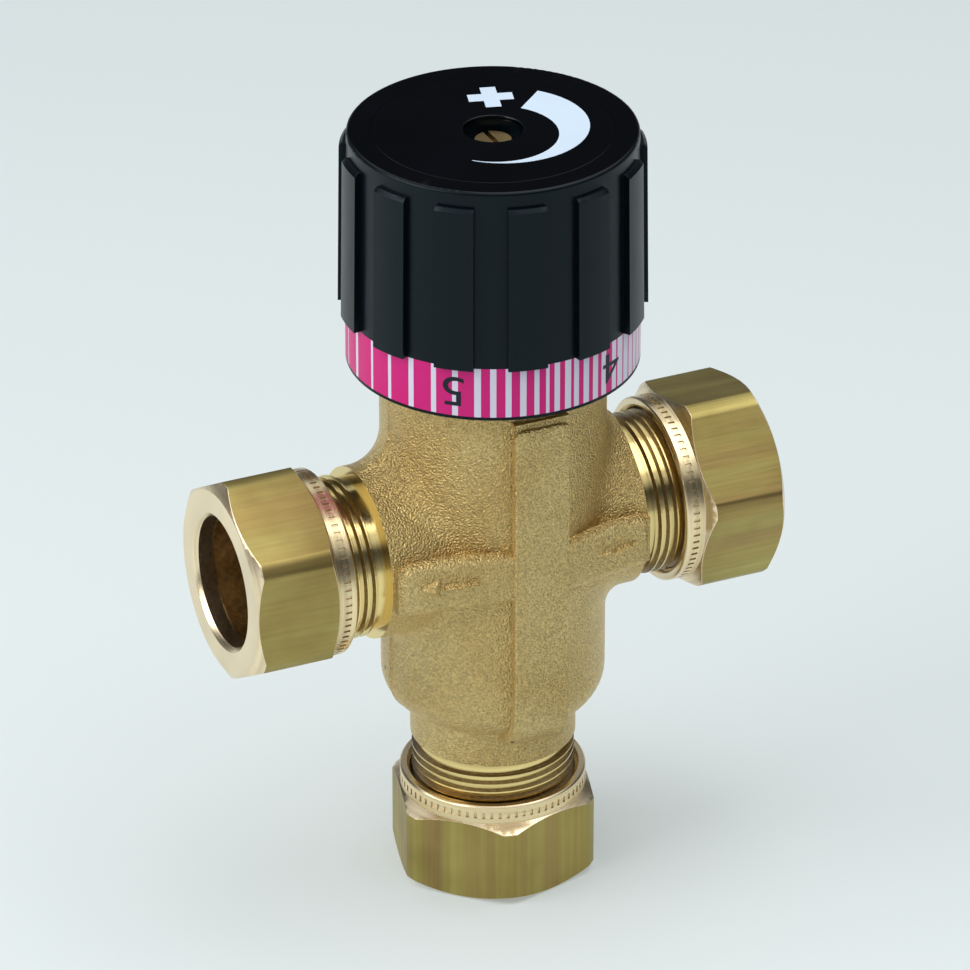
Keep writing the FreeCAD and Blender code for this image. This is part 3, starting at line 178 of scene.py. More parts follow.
def tool_marks():
    """Turning or drawing marks: fine lines stretched along one direction of the object."""
    group, given, result = new_group(
        "tool_marks",
        {"Along X": 1.0, "Along Y": 1.0, "Along Z": 1.0, "Line Width": 0.3 * MM},
        ("Height", "Streaks"),
    )
    place = object_place(group)
    shares = node(
        group,
        "ShaderNodeCombineXYZ",
        X=given["Along X"],
        Y=given["Along Y"],
        Z=given["Along Z"],
    )
    stretched = node(
        group, "ShaderNodeVectorMath", operation="MULTIPLY", input0=place, input1=shares.outputs[0]
    )
    scale = math_node(group, "DIVIDE", 1.0, given["Line Width"])
    lines = node(
        group, "ShaderNodeTexNoise", Vector=stretched.outputs[0], Scale=scale, Detail=3.0
    )
    broad = node(
        group,
        "ShaderNodeTexNoise",
        Vector=stretched.outputs[0],
        Scale=math_node(group, "MULTIPLY", scale, 0.16),
        Detail=3.0,
    )
    group.links.new(lines.outputs[0], result["Height"])
    group.links.new(broad.outputs[0], result["Streaks"])
    return group


BLASTED_GRAIN = blasted_grain()
TOOL_MARKS = tool_marks()


def new_material(name, **sockets):
    """A node material whose Principled shader has the given constant values."""
    material = bpy.data.materials.new(name)
    material.use_nodes = True
    tree = material.node_tree
    shader = tree.nodes["Principled BSDF"]
    for label, value in sockets.items():
        shader.inputs[label.replace("_", " ")].default_value = value
    return material, tree, shader


def use_group(tree, group, **values):
    made = tree.nodes.new("ShaderNodeGroup")
    made.node_tree = group
    for label, value in values.items():
        made.inputs[label.replace("_", " ")].default_value = value
    return made.outputs


def finish(tree, shader, colour, rough, height, relief):
    """Link a finish's changing colour, roughness and relief to its shader."""
    raised = node(tree, "ShaderNodeBump", Strength=1.0, Distance=relief, Height=height)
    tree.links.new(colour, shader.inputs["Base Color"])
    tree.links.new(rough, shader.inputs["Roughness"])
    tree.links.new(raised.outputs[0], shader.inputs["Normal"])


def multiplied(tree, first, second, amount=1.0):
    made = node(
        tree, "ShaderNodeMix", data_type="RGBA", blend_type="MULTIPLY", input0=amount,
        input6=first, input7=second,
    )
    return made.outputs[2]


def cast_brass():
    material, tree, shader = new_material("cast_brass", Metallic=0.9)
    grain = use_group(tree, BLASTED_GRAIN, Grain_Size=0.36 * MM, Pit_Share=0.05)
    colour = ramp(
        tree, grain["Clouds"], (0.35, (0.61, 0.435, 0.170)), (0.65, (0.69, 0.525, 0.228))
    )
    glint = ramp(tree, grain["Tone"], (0.42, 0.77), (0.94, 1.24))
    lit = multiplied(tree, colour, glint)
    pitted = node(
        tree, "ShaderNodeMix", data_type="RGBA", input0=grain["Pits"], input6=lit,
        input7=(0.16, 0.10, 0.05, 1),
    )
    rough = math_node(tree, "MULTIPLY_ADD", grain["Clouds"], 0.10, 0.26)
    finish(tree, shader, pitted.outputs[2], rough, grain["Height"], 0.24 * MM)
    return material


def turned_brass(name, colour, along, roughness=0.17, line_width=0.12 * MM):
    """Brass turned about one axis; along stretches the marks round that axis."""
    material, tree, shader = new_material(name, Metallic=1.0)
    marks = use_group(
        tree, TOOL_MARKS, Along_X=along[0], Along_Y=along[1], Along_Z=along[2], Line_Width=line_width
    )
    dull = tuple(channel * 0.72 for channel in colour)
    tinted = ramp(tree, marks["Streaks"], (0.35, dull), (0.62, colour))
    rough = math_node(tree, "MULTIPLY_ADD", marks["Streaks"], 0.12, roughness - 0.06)
    finish(tree, shader, tinted, rough, marks["Height"], 0.012 * MM)
    return material


GOLD = (0.92, 0.72, 0.31)
CAST_BRASS = cast_brass()
PORT_BRASS_X = turned_brass("turned_brass_side_ports", GOLD, (1.0, 0.02, 0.02))
PORT_BRASS_Z = turned_brass("turned_brass_barrel", GOLD, (0.02, 0.02, 1.0))
# Dark brown brass for the inside of the bores: painted shade, the darkness that falls deep in a bore.
SHADED_BORE_BRASS = turned_brass("bored_brass_painted_shade", (0.34, 0.265, 0.18), (1.0, 1.0, 1.0), 0.36)


def add_piece(name, mesh):
    piece = bpy.data.objects.new(name, mesh)
    bpy.context.scene.collection.objects.link(piece)
    return piece


def piece_from(edit, name):
    """Turn an edited mesh's faces outwards and make it a piece."""
    bmesh.ops.recalc_face_normals(edit, faces=edit.faces)
    mesh = bpy.data.meshes.new(name)
    edit.to_mesh(mesh)
    edit.free()
    return add_piece(name, mesh)


def skin(edit, outline, following):
    """Faces from one closed outline to the next."""
    faces = []
    for index in range(len(outline)):
        after = (index + 1) % len(outline)
        corners = (outline[index], following[index], following[after], outline[after])
        faces.append(edit.faces.new(corners))
    return faces


def cut_plane(edit, point, normal, dist=1e-7, **clear):
    everything = edit.verts[:] + edit.edges[:] + edit.faces[:]
    bmesh.ops.bisect_plane(
        edit, geom=everything, dist=dist, plane_co=point, plane_no=normal, **clear
    )


def copy_node(node_name, piece_name):
    """A merged copy of a CAD node's mesh, as a piece of its own."""
    mesh = frame["nodes"][node_name].data.copy()
    mesh.name = piece_name
    if "custom_normal" in mesh.attributes:
        mesh.attributes.remove(mesh.attributes["custom_normal"])
    edit = bmesh.new()
    edit.from_mesh(mesh)
    bmesh.ops.remove_doubles(edit, verts=edit.verts, dist=1e-7)
    edit.to_mesh(mesh)
    edit.free()
    return add_piece(piece_name, mesh)


def settle(piece):
    """Turn a piece's modifiers into plain mesh."""
    graph = bpy.context.evaluated_depsgraph_get()
    mesh = bpy.data.meshes.new_from_object(piece.evaluated_get(graph), depsgraph=graph)
    piece.modifiers.clear()
    piece.data = mesh


def round_edges(piece, width, segments, degrees):
    rounding = piece.modifiers.new("rounded_edges", "BEVEL")
    rounding.width = width
    rounding.segments = segments
    rounding.limit_method = "ANGLE"
    rounding.angle_limit = math.radians(degrees)
    settle(piece)


def cut_away(piece, cutter):
    cut = piece.modifiers.new("cut", "BOOLEAN")
    cut.operation = "DIFFERENCE"
    cut.solver = "EXACT"
    cut.object = cutter
    settle(piece)
    bpy.data.objects.remove(cutter)


def smooth(piece, degrees=32, keep_flats=False):
    """Smooth shading with sharp edges; keep_flats leaves rounded edges out of the flats' shading."""
    piece.data.shade_smooth()
    piece.data.set_sharp_from_angle(angle=math.radians(degrees))
    if keep_flats:
        weigh = piece.modifiers.new("flats", "WEIGHTED_NORMAL")
        weigh.keep_sharp = True
        settle(piece)


def paint(piece, materials, choose):
    """Give each face the material whose number choose(centre, normal) returns."""
    piece.data.materials.clear()
    for material in materials:
        piece.data.materials.append(material)
    for face in piece.data.polygons:
        face.material_index = choose(face.center, face.normal)


def thread_radius(share):
    """Radius of the thread at a share of its pitch: flat root, flank, flat crest, flank."""
    root_end, rise, crest_end, fall = THREAD_CORNERS
    depth = THREAD_CREST - THREAD_ROOT
    if share < root_end or share > fall:
        return THREAD_ROOT
    if share < rise:
        return THREAD_ROOT + depth * (share - root_end) / (rise - root_end)
    if share <= crest_end:
        return THREAD_CREST
    return THREAD_CREST - depth * (share - crest_end) / (fall - crest_end)


def thread_cutter(axis, start, end):
    """A ring round a port whose inner wall is the thread; cutting it away leaves the thread."""
    outer = THREAD_CREST + 2 * MM
    across = axis.orthogonal().normalized()
    beside = axis.cross(across)
    turns = math.ceil((end - start) / THREAD_PITCH) + 2
    edit = bmesh.new()
    rows = []
    for step in range(THREAD_STEPS + 1):
        angle = 2 * math.pi * step / THREAD_STEPS
        spoke = across * math.cos(angle) + beside * math.sin(angle)
        advance = THREAD_PITCH * step / THREAD_STEPS
        column = []
        for turn in range(-1, turns):
            for corner in (0.0, *THREAD_CORNERS):
                along = start + THREAD_PITCH * (turn + corner) + advance
                held = min(max(along, start), end)
                share = ((held - start - advance) / THREAD_PITCH) % 1.0
                radius = thread_radius(share)
                column.append(edit.verts.new(VALVE_CENTRE + axis * held + spoke * radius))
        column.append(edit.verts.new(VALVE_CENTRE + axis * end + spoke * outer))
        column.append(edit.verts.new(VALVE_CENTRE + axis * start + spoke * outer))
        rows.append(column)
    for column, following in zip(rows, rows[1:]):
        skin(edit, column, following)
    bmesh.ops.remove_doubles(edit, verts=edit.verts, dist=1e-8)
    bmesh.ops.dissolve_degenerate(edit, edges=edit.edges, dist=1e-8)
    return piece_from(edit, "thread_cutter")


def raise_parting_line(piece):
    """The mould's two halves leave a low ridge where they met, in the plane of the ports."""
    half_width = 0.35 * MM
    height = 0.16 * MM
    edit = bmesh.new()
    edit.from_mesh(piece.data)
    for offset in (-half_width, 0.0, half_width):
        cut_plane(edit, (0, offset, 0), (0, 1, 0))
    edit.normal_update()
    for vert in edit.verts:
        around = vert.link_faces
        if abs(vert.co.y) < 1e-6 and all(is_cast(f.calc_center_median(), f.normal) for f in around):
            vert.co += vert.normal * height
    edit.to_mesh(piece.data)
    edit.free()


BARREL_BORE = 14.05 * MM
BONNET_SEAT = 17.5 * MM
BRANCH_BORE = 14.4 * MM
BRANCH_START = 17.0 * MM
JUST_INSIDE = 0.02 * MM


def is_cast(centre, normal):
    """True on the blasted outside of the casting, False on its machined ports, top and bores."""
    x, y, z = centre.x, centre.y, centre.z - PORT_AXIS_Z
    if x < -SHOULDERS["left"] + JUST_INSIDE or x > SHOULDERS["right"] - JUST_INSIDE:
        return False
    if z < -SHOULDERS["bottom"] + JUST_INSIDE or centre.z > body_high[2] - JUST_INSIDE:
        return False
    barrel = math.hypot(x, y)
    branch = math.hypot(y, z)
    if barrel < BARREL_BORE:
        return False
    if barrel < BONNET_SEAT and normal.x * x + normal.y * y < -0.3 * barrel:
        return False
    inwards = normal.y * y + normal.z * z < -0.3 * branch
    return not (branch < BRANCH_BORE and barrel > BRANCH_START and inwards)


def casting_material(centre, normal):
    """Chooser of the casting's finish by face: blasted, side ports, barrel ends, and bores in a dark
    brass that is painted shade.
    """
    if is_cast(centre, normal):
        return 0
    if centre.x * normal.x + centre.y * normal.y < -0.3 * math.hypot(centre.x, centre.y):
        return 3
    height = centre.z - PORT_AXIS_Z
    if centre.y * normal.y + height * normal.z < -0.3 * math.hypot(centre.y, height):
        return 3
    beyond_left = centre.x < -SHOULDERS["left"] + JUST_INSIDE
    beyond_right = centre.x > SHOULDERS["right"] - JUST_INSIDE
    return 1 if beyond_left or beyond_right else 2


BAR_RISE = 0.5 * MM
BAR_FACE = 19.3 * MM
BAR_FACE_END = 16.0 * MM
PAD_EDGE = 4.9 * MM


def bar_depth(x):
    """How far in front of the axis the arrow bars' sloping faces stand at x."""
    reach = SHOULDERS["left"] if x < 0 else SHOULDERS["right"]
    share = (abs(x) - PAD_EDGE) / (reach - 0.4 * MM - PAD_EDGE)
    return BAR_FACE + (BAR_FACE_END - BAR_FACE) * share


def cast_detail(piece):
    piece.data.materials.append(CAST_BRASS)
    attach(piece, "casting")


def flow_arrow(name, tip, tail, half_width, shaft, rise):
    """A low cast arrow on a bar, pointing along -X: a pyramid head and a roof-shaped shaft."""
    neck = tip + (tail - tip) * 0.46
    ridge_inset = shaft * 0.6
    head = [(tip, 0.0), (neck, half_width), (neck, -half_width)]
    apex = tip + (neck - tip) * 0.62
    stem = [(neck, shaft), (tail, shaft), (tail, -shaft), (neck, -shaft)]
    roof = [(neck, 0.1 * shaft), (tail - ridge_inset, 0.1 * shaft)]
    roof += [(tail - ridge_inset, -0.1 * shaft), (neck, -0.1 * shaft)]
    sunk = -0.4 * MM
    above_axis = 0.4 * MM
    edit = bmesh.new()

    def on_bar(x, up, lift):
        depth = -bar_depth(x) - BAR_RISE - lift
        return edit.verts.new((x, depth, PORT_AXIS_Z + above_axis + up))

    foot = [on_bar(x, up, sunk) for x, up in head]
    peak = on_bar(apex, 0.0, rise)
    edit.faces.new(foot)
    for index in range(3):
        edit.faces.new((foot[index], foot[(index + 1) % 3], peak))
    low = [on_bar(x, up, sunk) for x, up in stem]
    high = [on_bar(x, up, rise * 0.75) for x, up in roof]
    edit.faces.new(low)
    edit.faces.new(list(reversed(high)))
    skin(edit, low, high)
    piece = piece_from(edit, name)
    round_edges(piece, 0.15 * MM, 3, 30)
    smooth(piece, 60)
    cast_detail(piece)


def soft_slab(name, path, across, half_width, rise, edge, corner, round_start=True, swell=0.0):
    """A cast raised strip with rounded edges, along (distance, point, normal) places of a path;
    its first edge swells outwards in the middle."""
    sunk = -1.2 * MM
    arc = [math.radians(90 * step / 6) for step in range(7)]
    length = path[-1][0]
    edit = bmesh.new()
    rings = []
    for distance, point, normal in path:
        to_end = min(distance, length - distance) if round_start else length - distance
        low, narrow = 0.0, 0.0
        if to_end < edge:
            low = edge - math.sqrt(edge**2 - (edge - to_end) ** 2)
        if to_end < corner:
            narrow = corner - math.sqrt(corner**2 - (corner - to_end) ** 2)
        half = half_width - narrow
        section = [(half, sunk)]
        section += [
            (half - edge + edge * math.cos(turn), rise - low - edge + edge * math.sin(turn))
            for turn in arc
        ]
        grown = swell * math.sin(math.pi * distance / length) ** 0.7
        section = [(side + grown, up) for side, up in section] + [
            (-side, up) for side, up in reversed(section)
        ]
        rings.append([edit.verts.new(point + across * side + normal * up) for side, up in section])
    for ring, following in zip(rings, rings[1:]):
        skin(edit, ring, following)
    edit.faces.new(rings[0])
    edit.faces.new(list(reversed(rings[-1])))
    piece = piece_from(edit, name)
    smooth(piece, 40)
    cast_detail(piece)


def stations(length, fine=1.6 * MM):
    """Distances along a strip, close together at both ends."""
    near = [fine * (1 - math.cos(math.radians(90 * step / 8))) for step in range(9)]
    middle = [fine + (length - 2 * fine) * step / 40 for step in range(1, 40)]
    return near + middle + [length - distance for distance in reversed(near)]


def pad_path():
    """Up the front pad from its top end down to the barrel's rounded foot."""
    top, foot, face, bend = 27.8 * MM, -27.0 * MM, 19.6 * MM, 7.2 * MM
    straight = top - foot
    for distance in stations(straight + bend * math.radians(62)):
        if distance < straight:
            yield distance, Vector((0, -face, PORT_AXIS_Z + top - distance)), Vector((0, -1, 0))
        else:
            turn = (distance - straight) / bend
            normal = Vector((0, -math.cos(turn), -math.sin(turn)))
            centre = Vector((0, bend - face, PORT_AXIS_Z + foot))
            yield distance, centre + normal * bend, normal


def bar_path(start, end):
    first = Vector((start, -bar_depth(start), PORT_AXIS_Z))
    last = Vector((end, -bar_depth(end), PORT_AXIS_Z))
    along = (last - first).normalized()
    normal = along.cross(Vector((0, 0, 1)))
    if normal.y > 0:
        normal = -normal
    for distance in stations((last - first).length):
        yield distance, first + along * distance, normal


casting = copy_node("body", "valve_casting")
for side, axis in PORT_AXES.items():
    thread_start = SHOULDERS[side] + RELIEF_WIDTH - 0.25 * MM
    cut_away(casting, thread_cutter(axis, thread_start, PORT_ENDS[side] + 0.4 * MM))
raise_parting_line(casting)
smooth(casting, 34)
paint(casting, (CAST_BRASS, PORT_BRASS_X, PORT_BRASS_Z, SHADED_BORE_BRASS), casting_material)
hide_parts("body")
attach(casting, "casting")
soft_slab(
    "front_pad", list(pad_path()), across=Vector((1, 0, 0)), half_width=5.0 * MM, rise=0.5 * MM,
    edge=0.4 * MM, corner=1.4 * MM,
)
for side, start, end in (("left", -4.6 * MM, -24.3 * MM), ("right", 4.6 * MM, 21.6 * MM)):
    soft_slab(
        side + "_bar", list(bar_path(start, end)), across=Vector((0, 0, 1)), half_width=4.55 * MM,
        rise=BAR_RISE, edge=1.5 * MM, corner=2.0 * MM, round_start=False, swell=0.8 * MM,
    )
flow_arrow("flow_arrow_left", -22.2 * MM, -10.8 * MM, 2.7 * MM, 0.85 * MM, 1.15 * MM)
flow_arrow("flow_arrow_right", 10.6 * MM, 18.6 * MM, 1.9 * MM, 0.7 * MM, 0.9 * MM)

# ======================================================================== compression nuts
# Hot-drawn hexagon brass, parted off and turned: drawn flats with long streaks, bright end face,
# chamfers and a round collar with a ring of small notches knurled into its middle.

NUT_ENDS = {
    "left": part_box("left_nut")[0][0],
    "right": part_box("right_nut")[1][0],
    "bottom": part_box("bottom_nut")[0][2],
}
NUT_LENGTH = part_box("bottom_nut")[1][2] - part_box("bottom_nut")[0][2]
NOTCH_COUNT = 72
NOTCH_MIDDLE = NUT_LENGTH - 1.75 * MM
NOTCH_LENGTH = 1.15 * MM
NOTCH_WIDTH = 0.5 * MM
NOTCH_DEPTH = 0.22 * MM
COLLAR_RADIUS = 15.9 * MM


def nut_flats_brass(name, along, brown, olive, straw, band):
    """Drawn brass, stained in bands from brown to straw that run along the nut."""
    material, tree, shader = new_material(name, Metallic=1.0)
    marks = use_group(
        tree, TOOL_MARKS, Along_X=along[0], Along_Y=along[1], Along_Z=along[2], Line_Width=band
    )
    stains = use_group(tree, BLASTED_GRAIN, Grain_Size=2.2 * MM, Pit_Share=0.0)
    base = ramp(tree, marks["Streaks"], (0.30, brown), (0.50, olive), (0.72, straw))
    stained = ramp(tree, stains["Clouds"], (0.30, (0.70, 0.66, 0.62)), (0.55, (1.0, 1.0, 1.0)))
    lines = ramp(tree, marks["Height"], (0.30, (0.91, 0.92, 0.90)), (0.66, (1.06, 1.05, 1.03)))
    colour = multiplied(tree, multiplied(tree, base, stained, 0.8), lines)
    rough = math_node(tree, "MULTIPLY_ADD", marks["Streaks"], 0.18, 0.35)
    finish(tree, shader, colour, rough, marks["Height"], 0.02 * MM)
    return material


PALE_GOLD = (0.95, 0.78, 0.52)
COLLAR_GOLD = (0.94, 0.76, 0.45)
NUT_FLATS = {
    "left": nut_flats_brass(
        "drawn_brass_side_nuts", (0.05, 1.0, 1.0), (0.39, 0.28, 0.105), (0.425, 0.335, 0.115),
        (0.465, 0.395, 0.145), 0.6 * MM,
    ),
    "bottom": nut_flats_brass(
        "drawn_brass_bottom_nut", (1.0, 1.0, 0.02), (0.345, 0.215, 0.10), (0.41, 0.325, 0.105),
        (0.50, 0.43, 0.14), 0.75 * MM,
    ),
}
NUT_FLATS["right"] = NUT_FLATS["left"]
NUT_TURNED = {
    "left": turned_brass("turned_brass_side_nuts", PALE_GOLD, (1.0, 0.03, 0.03), 0.26),
    "bottom": turned_brass("turned_brass_bottom_nut", PALE_GOLD, (0.03, 0.03, 1.0), 0.26),
}
NUT_TURNED["right"] = NUT_TURNED["left"]
NUT_COLLARS = {
    "left": turned_brass("collar_brass_side_nuts", COLLAR_GOLD, (1.0, 0.03, 0.03), 0.24),
    "bottom": turned_brass("collar_brass_bottom_nut", COLLAR_GOLD, (0.03, 0.03, 1.0), 0.24),
}
NUT_COLLARS["right"] = NUT_COLLARS["left"]
NOTCH_BRASS = turned_brass("notch_brass", (0.82, 0.64, 0.38), (1.0, 1.0, 1.0), 0.3)


def notch_ring_tree():
    """Geometry nodes: a ring of small blocks, cut out of the piece it is given."""
    tree = bpy.data.node_groups.new("notch_ring", "GeometryNodeTree")
    kinds = {
        "Count": "NodeSocketInt",
        "Radius": "NodeSocketFloat",
        "Block": "NodeSocketVector",
        "Centre": "NodeSocketVector",
        "Turn": "NodeSocketRotation",
        "Finish": "NodeSocketMaterial",
    }
    tree.interface.new_socket("Geometry", in_out="INPUT", socket_type="NodeSocketGeometry")
    for label, kind in kinds.items():
        tree.interface.new_socket(label, in_out="INPUT", socket_type=kind)
    tree.interface.new_socket("Geometry", in_out="OUTPUT", socket_type="NodeSocketGeometry")
    start = tree.nodes.new("NodeGroupInput").outputs
    end = tree.nodes.new("NodeGroupOutput").inputs
    ring = node(tree, "GeometryNodeMeshCircle", Vertices=start["Count"], Radius=start["Radius"])
    place = tree.nodes.new("GeometryNodeInputPosition")
    aimed = node(tree, "FunctionNodeAlignRotationToVector", axis="X", Vector=place.outputs[0])
    block = node(tree, "GeometryNodeMeshCube", Size=start["Block"])
    blocks = node(
        tree, "GeometryNodeInstanceOnPoints", Points=ring.outputs[0], Instance=block.outputs[0],
        Rotation=aimed.outputs[0],
    )
    real = node(tree, "GeometryNodeRealizeInstances", Geometry=blocks.outputs[0])
    marked = node(
        tree, "GeometryNodeStoreNamedAttribute", data_type="BOOLEAN", domain="FACE",
        Geometry=real.outputs[0], Name="notch", Value=True,
    )
    moved = tree.nodes.new("GeometryNodeTransform")
    tree.links.new(marked.outputs[0], moved.inputs["Geometry"])
    tree.links.new(start["Centre"], moved.inputs["Translation"])
    tree.links.new(start["Turn"], moved.inputs["Rotation"])
    cut = node(tree, "GeometryNodeMeshBoolean", operation="DIFFERENCE", solver="EXACT")
    tree.links.new(start["Geometry"], cut.inputs["Mesh 1"])
    tree.links.new(moved.outputs[0], cut.inputs["Mesh 2"])
    whole = node(tree, "GeometryNodeRealizeInstances", Geometry=cut.outputs[0])
    notch = node(tree, "GeometryNodeInputNamedAttribute", data_type="BOOLEAN", Name="notch")
    painted = node(
        tree, "GeometryNodeSetMaterial", Geometry=whole.outputs[0],
        Selection=notch.outputs["Attribute"], Material=start["Finish"],
    )
    tree.links.new(painted.outputs[0], end["Geometry"])
    return tree


NOTCH_RING = notch_ring_tree()


def set_inputs(modifier, **values):
    """Set a geometry nodes modifier's inputs by their sockets' identifiers."""
    for item in modifier.node_group.interface.items_tree:
        if item.item_type == "SOCKET" and item.in_out == "INPUT" and item.name in values:
            modifier[item.identifier] = values[item.name]


def nut_material(axis):
    """Chooser of the nut's finish by face: drawn flats, turned faces, bore in a dark brass that is
    painted shade, round collar.
    """

    def choose(centre, normal):
        local = centre - VALVE_CENTRE
        along = local.dot(axis)
        spoke = local - axis * along
        if abs(normal.dot(axis)) > 0.3:
            return 1
        if normal.dot(spoke) < -0.3 * spoke.length:
            return 2
        if abs(normal.dot(axis)) > 0.02:
            return 1
        return 0 if spoke.length > COLLAR_RADIUS + 0.1 * MM else 3

    return choose


for side, axis in PORT_AXES.items():
    nut = copy_node(side + "_nut", side + "_nut_shell")
    round_edges(nut, 0.14 * MM, 2, 28)
    outer_end = VALVE_CENTRE.copy()
    if side == "bottom":
        outer_end.z = NUT_ENDS[side]
    else:
        outer_end.x = NUT_ENDS[side]
    # The bore's finish is the dark brass of painted shade.
    finishes = (NUT_FLATS[side], NUT_TURNED[side], SHADED_BORE_BRASS, NUT_COLLARS[side])
    paint(nut, finishes, nut_material(axis))
    notches = nut.modifiers.new("notches", "NODES")
    notches.node_group = NOTCH_RING
    turn = Vector((0, 0, 1)).rotation_difference(axis)
    set_inputs(
        notches,
        Count=NOTCH_COUNT,
        Radius=COLLAR_RADIUS,
        Block=(NOTCH_DEPTH * 2, NOTCH_WIDTH, NOTCH_LENGTH),
        Centre=outer_end - axis * NOTCH_MIDDLE,
        Turn=turn.to_euler(),
        Finish=NOTCH_BRASS,
    )
    settle(nut)
    smooth(nut, 30, keep_flats=True)
    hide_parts(side + "_nut")
    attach(nut, side + "_nut_body")

# ======================================================================== olives
# Soft turned brass rings, one in each nut. They lie loose against the cone of the port, and the nut
# presses them on to the pipe.

OLIVE_BRASS = turned_brass("turned_brass_olives", (0.90, 0.66, 0.34), (1.0, 1.0, 1.0), 0.24)


def finish_node(node_name, *materials):
    """Give a CAD node its finish; its shape stays as it is."""
    piece = frame["nodes"][node_name]
    piece.data.materials.clear()
    for material in materials:
        piece.data.materials.append(material)


for side in PORT_AXES:
    finish_node(side + "_olive", OLIVE_BRASS)

# ======================================================================== temperature knob
# One moulding in black plastic: satin ribbed wall, glossy face, a lip below the scale band and a
# recess for the screw. Its edges leave the mould slightly rounded.

def moulded(name, grain_size, dark, light, gloss, relief, relief_from="Height", **sockets):
    """Moulded plastic, rubber or ink: fine grain, and faint clouds in its colour and roughness.
    gloss is its lowest roughness and how far the clouds raise it."""
    material, tree, shader = new_material(name, **sockets)
    grain = use_group(tree, BLASTED_GRAIN, Grain_Size=grain_size, Pit_Share=0.0)
    colour = ramp(tree, grain["Clouds"], (0.3, dark), (0.7, light))
    rough = math_node(tree, "MULTIPLY_ADD", grain["Clouds"], gloss[1], gloss[0])
    finish(tree, shader, colour, rough, grain[relief_from], relief)
    return material


SATIN_BLACK = moulded(
    "satin_black_plastic", 0.10 * MM, (0.0008, 0.003, 0.005), (0.0014, 0.004, 0.0066), (0.24, 0.10),
    0.006 * MM, Specular_IOR_Level=0.2, Specular_Tint=(0.72, 0.92, 1.0, 1),
)
GLOSS_BLACK = moulded(
    "gloss_black_plastic", 1.4 * MM, (0.0004, 0.0008, 0.002), (0.0008, 0.0014, 0.003), (0.055, 0.05),
    0.002 * MM, relief_from="Clouds", Specular_IOR_Level=0.3,
)

knob = copy_node("knob", "knob_moulding")
round_edges(knob, 0.18 * MM, 2, 35)
smooth(knob, 34, keep_flats=True)
face_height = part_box("knob")[1][2] - 0.15 * MM
paint(
    knob,
    (SATIN_BLACK, GLOSS_BLACK),
    lambda centre, normal: 1 if centre.z > face_height and normal.z > 0.9 else 0,
)
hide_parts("knob")
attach(knob, "knob_set")

# ======================================================================== face disc
# A glossy disc inlaid in the knob's face, printed in pale blue-white with a plus and a crescent that
# widens towards hot.

DISC_LOW, DISC_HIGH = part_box("face_disc")
DISC_RADIUS = (DISC_HIGH[0] - DISC_LOW[0]) / 2
DISC_HOLE = 5.0 * MM
PRINT_HEIGHT = 0.03 * MM


def turned_ring(name, profile, angles, shade=None):
    """A closed ring about the knob's axis, from (radius, z) points at each angle in radians.
    shade gives the material number of the part that follows each angle."""
    edit = bmesh.new()
    columns = []
    for angle in angles:
        spoke = Vector((math.cos(angle), math.sin(angle), 0))
        columns.append([edit.verts.new(spoke * radius + Vector((0, 0, z))) for radius, z in profile])
    for index, column in enumerate(columns):
        for face in skin(edit, column, columns[(index + 1) % len(columns)]):
            face.material_index = shade[index] if shade else 0
    return piece_from(edit, name)


def plate(name, outline, cells, low, high):
    """A thin closed plate from an outline in the XY plane, split into four-sided cells."""
    edit = bmesh.new()
    top = [edit.verts.new((x, y, high)) for x, y in outline]
    bottom = [edit.verts.new((x, y, low)) for x, y in outline]
    for cell in cells:
        edit.faces.new([top[index] for index in cell])
        edit.faces.new([bottom[index] for index in reversed(cell)])
    skin(edit, top, bottom)
    return piece_from(edit, name)


def print_ink(name, colour, roughness=0.3):
    darker = tuple(channel * 0.94 for channel in colour)
    return moulded(
        name, 0.5 * MM, darker, colour, (roughness, 0.08), 0.002 * MM, Specular_IOR_Level=0.25
    )


PALE_PRINT = print_ink("pale_blue_print", (0.66, 0.79, 0.93))

disc_top = DISC_HIGH[2] - PRINT_HEIGHT
disc_edge = 0.12 * MM
DISC_STEPS = 160
disc = turned_ring(
    "face_disc_inlay",
    [
        (DISC_HOLE, DISC_LOW[2]),
        (DISC_RADIUS, DISC_LOW[2]),
        (DISC_RADIUS, disc_top - disc_edge),
        (DISC_RADIUS - disc_edge * 0.3, disc_top - disc_edge * 0.3),
        (DISC_RADIUS - disc_edge, disc_top),
        (DISC_HOLE + disc_edge, disc_top),
        (DISC_HOLE, disc_top - disc_edge),
    ],
    [2 * math.pi * step / DISC_STEPS for step in range(DISC_STEPS)],
)
smooth(disc, 50, keep_flats=True)
disc.data.materials.append(GLOSS_BLACK)
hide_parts("face_disc")
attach(disc, "knob_set")


def crescent_shape():
    """The crescent lies between a large and a small circle, from a straight edge to a thin tip."""
    outer_centre, outer_radius = Vector((2.07, 0.39)) * MM, 14.15 * MM
    inner_centre, inner_radius = Vector((-0.54, -1.91)) * MM, 10.51 * MM
    outer_start, outer_end = math.radians(42.0), math.radians(-136.0)
    inner_start, inner_end = math.radians(41.5), math.radians(-134.0)
    steps = 60

    def arc(centre, radius, first, last):
        for step in range(steps + 1):
            angle = first + (last - first) * step / steps
            yield centre.x + radius * math.cos(angle), centre.y + radius * math.sin(angle)

    outer = list(arc(outer_centre, outer_radius, outer_start, outer_end))
    inner = list(arc(inner_centre, inner_radius, inner_end, inner_start))
    last = 2 * steps + 1
    cells = [(step, step + 1, last - 1 - step, last - step) for step in range(steps)]
    return outer + inner, cells


def plus_shape():
    centre, reach, half = Vector((4.5, 10.9)) * MM, 3.75 * MM, 1.3 * MM
    turn = math.radians(-16)
    corner = [(half, reach), (half, half), (reach, half)]
    points = []
    for quarter in range(4):
        spin = turn - math.radians(90 * quarter)
        for x, y in corner:
            points.append(
                (
                    centre.x + x * math.cos(spin) - y * math.sin(spin),
                    centre.y + x * math.sin(spin) + y * math.cos(spin),
                )
            )
    cells = [(1, 4, 7, 10), (1, 2, 3, 4), (4, 5, 6, 7), (7, 8, 9, 10), (10, 11, 0, 1)]
    return points, cells


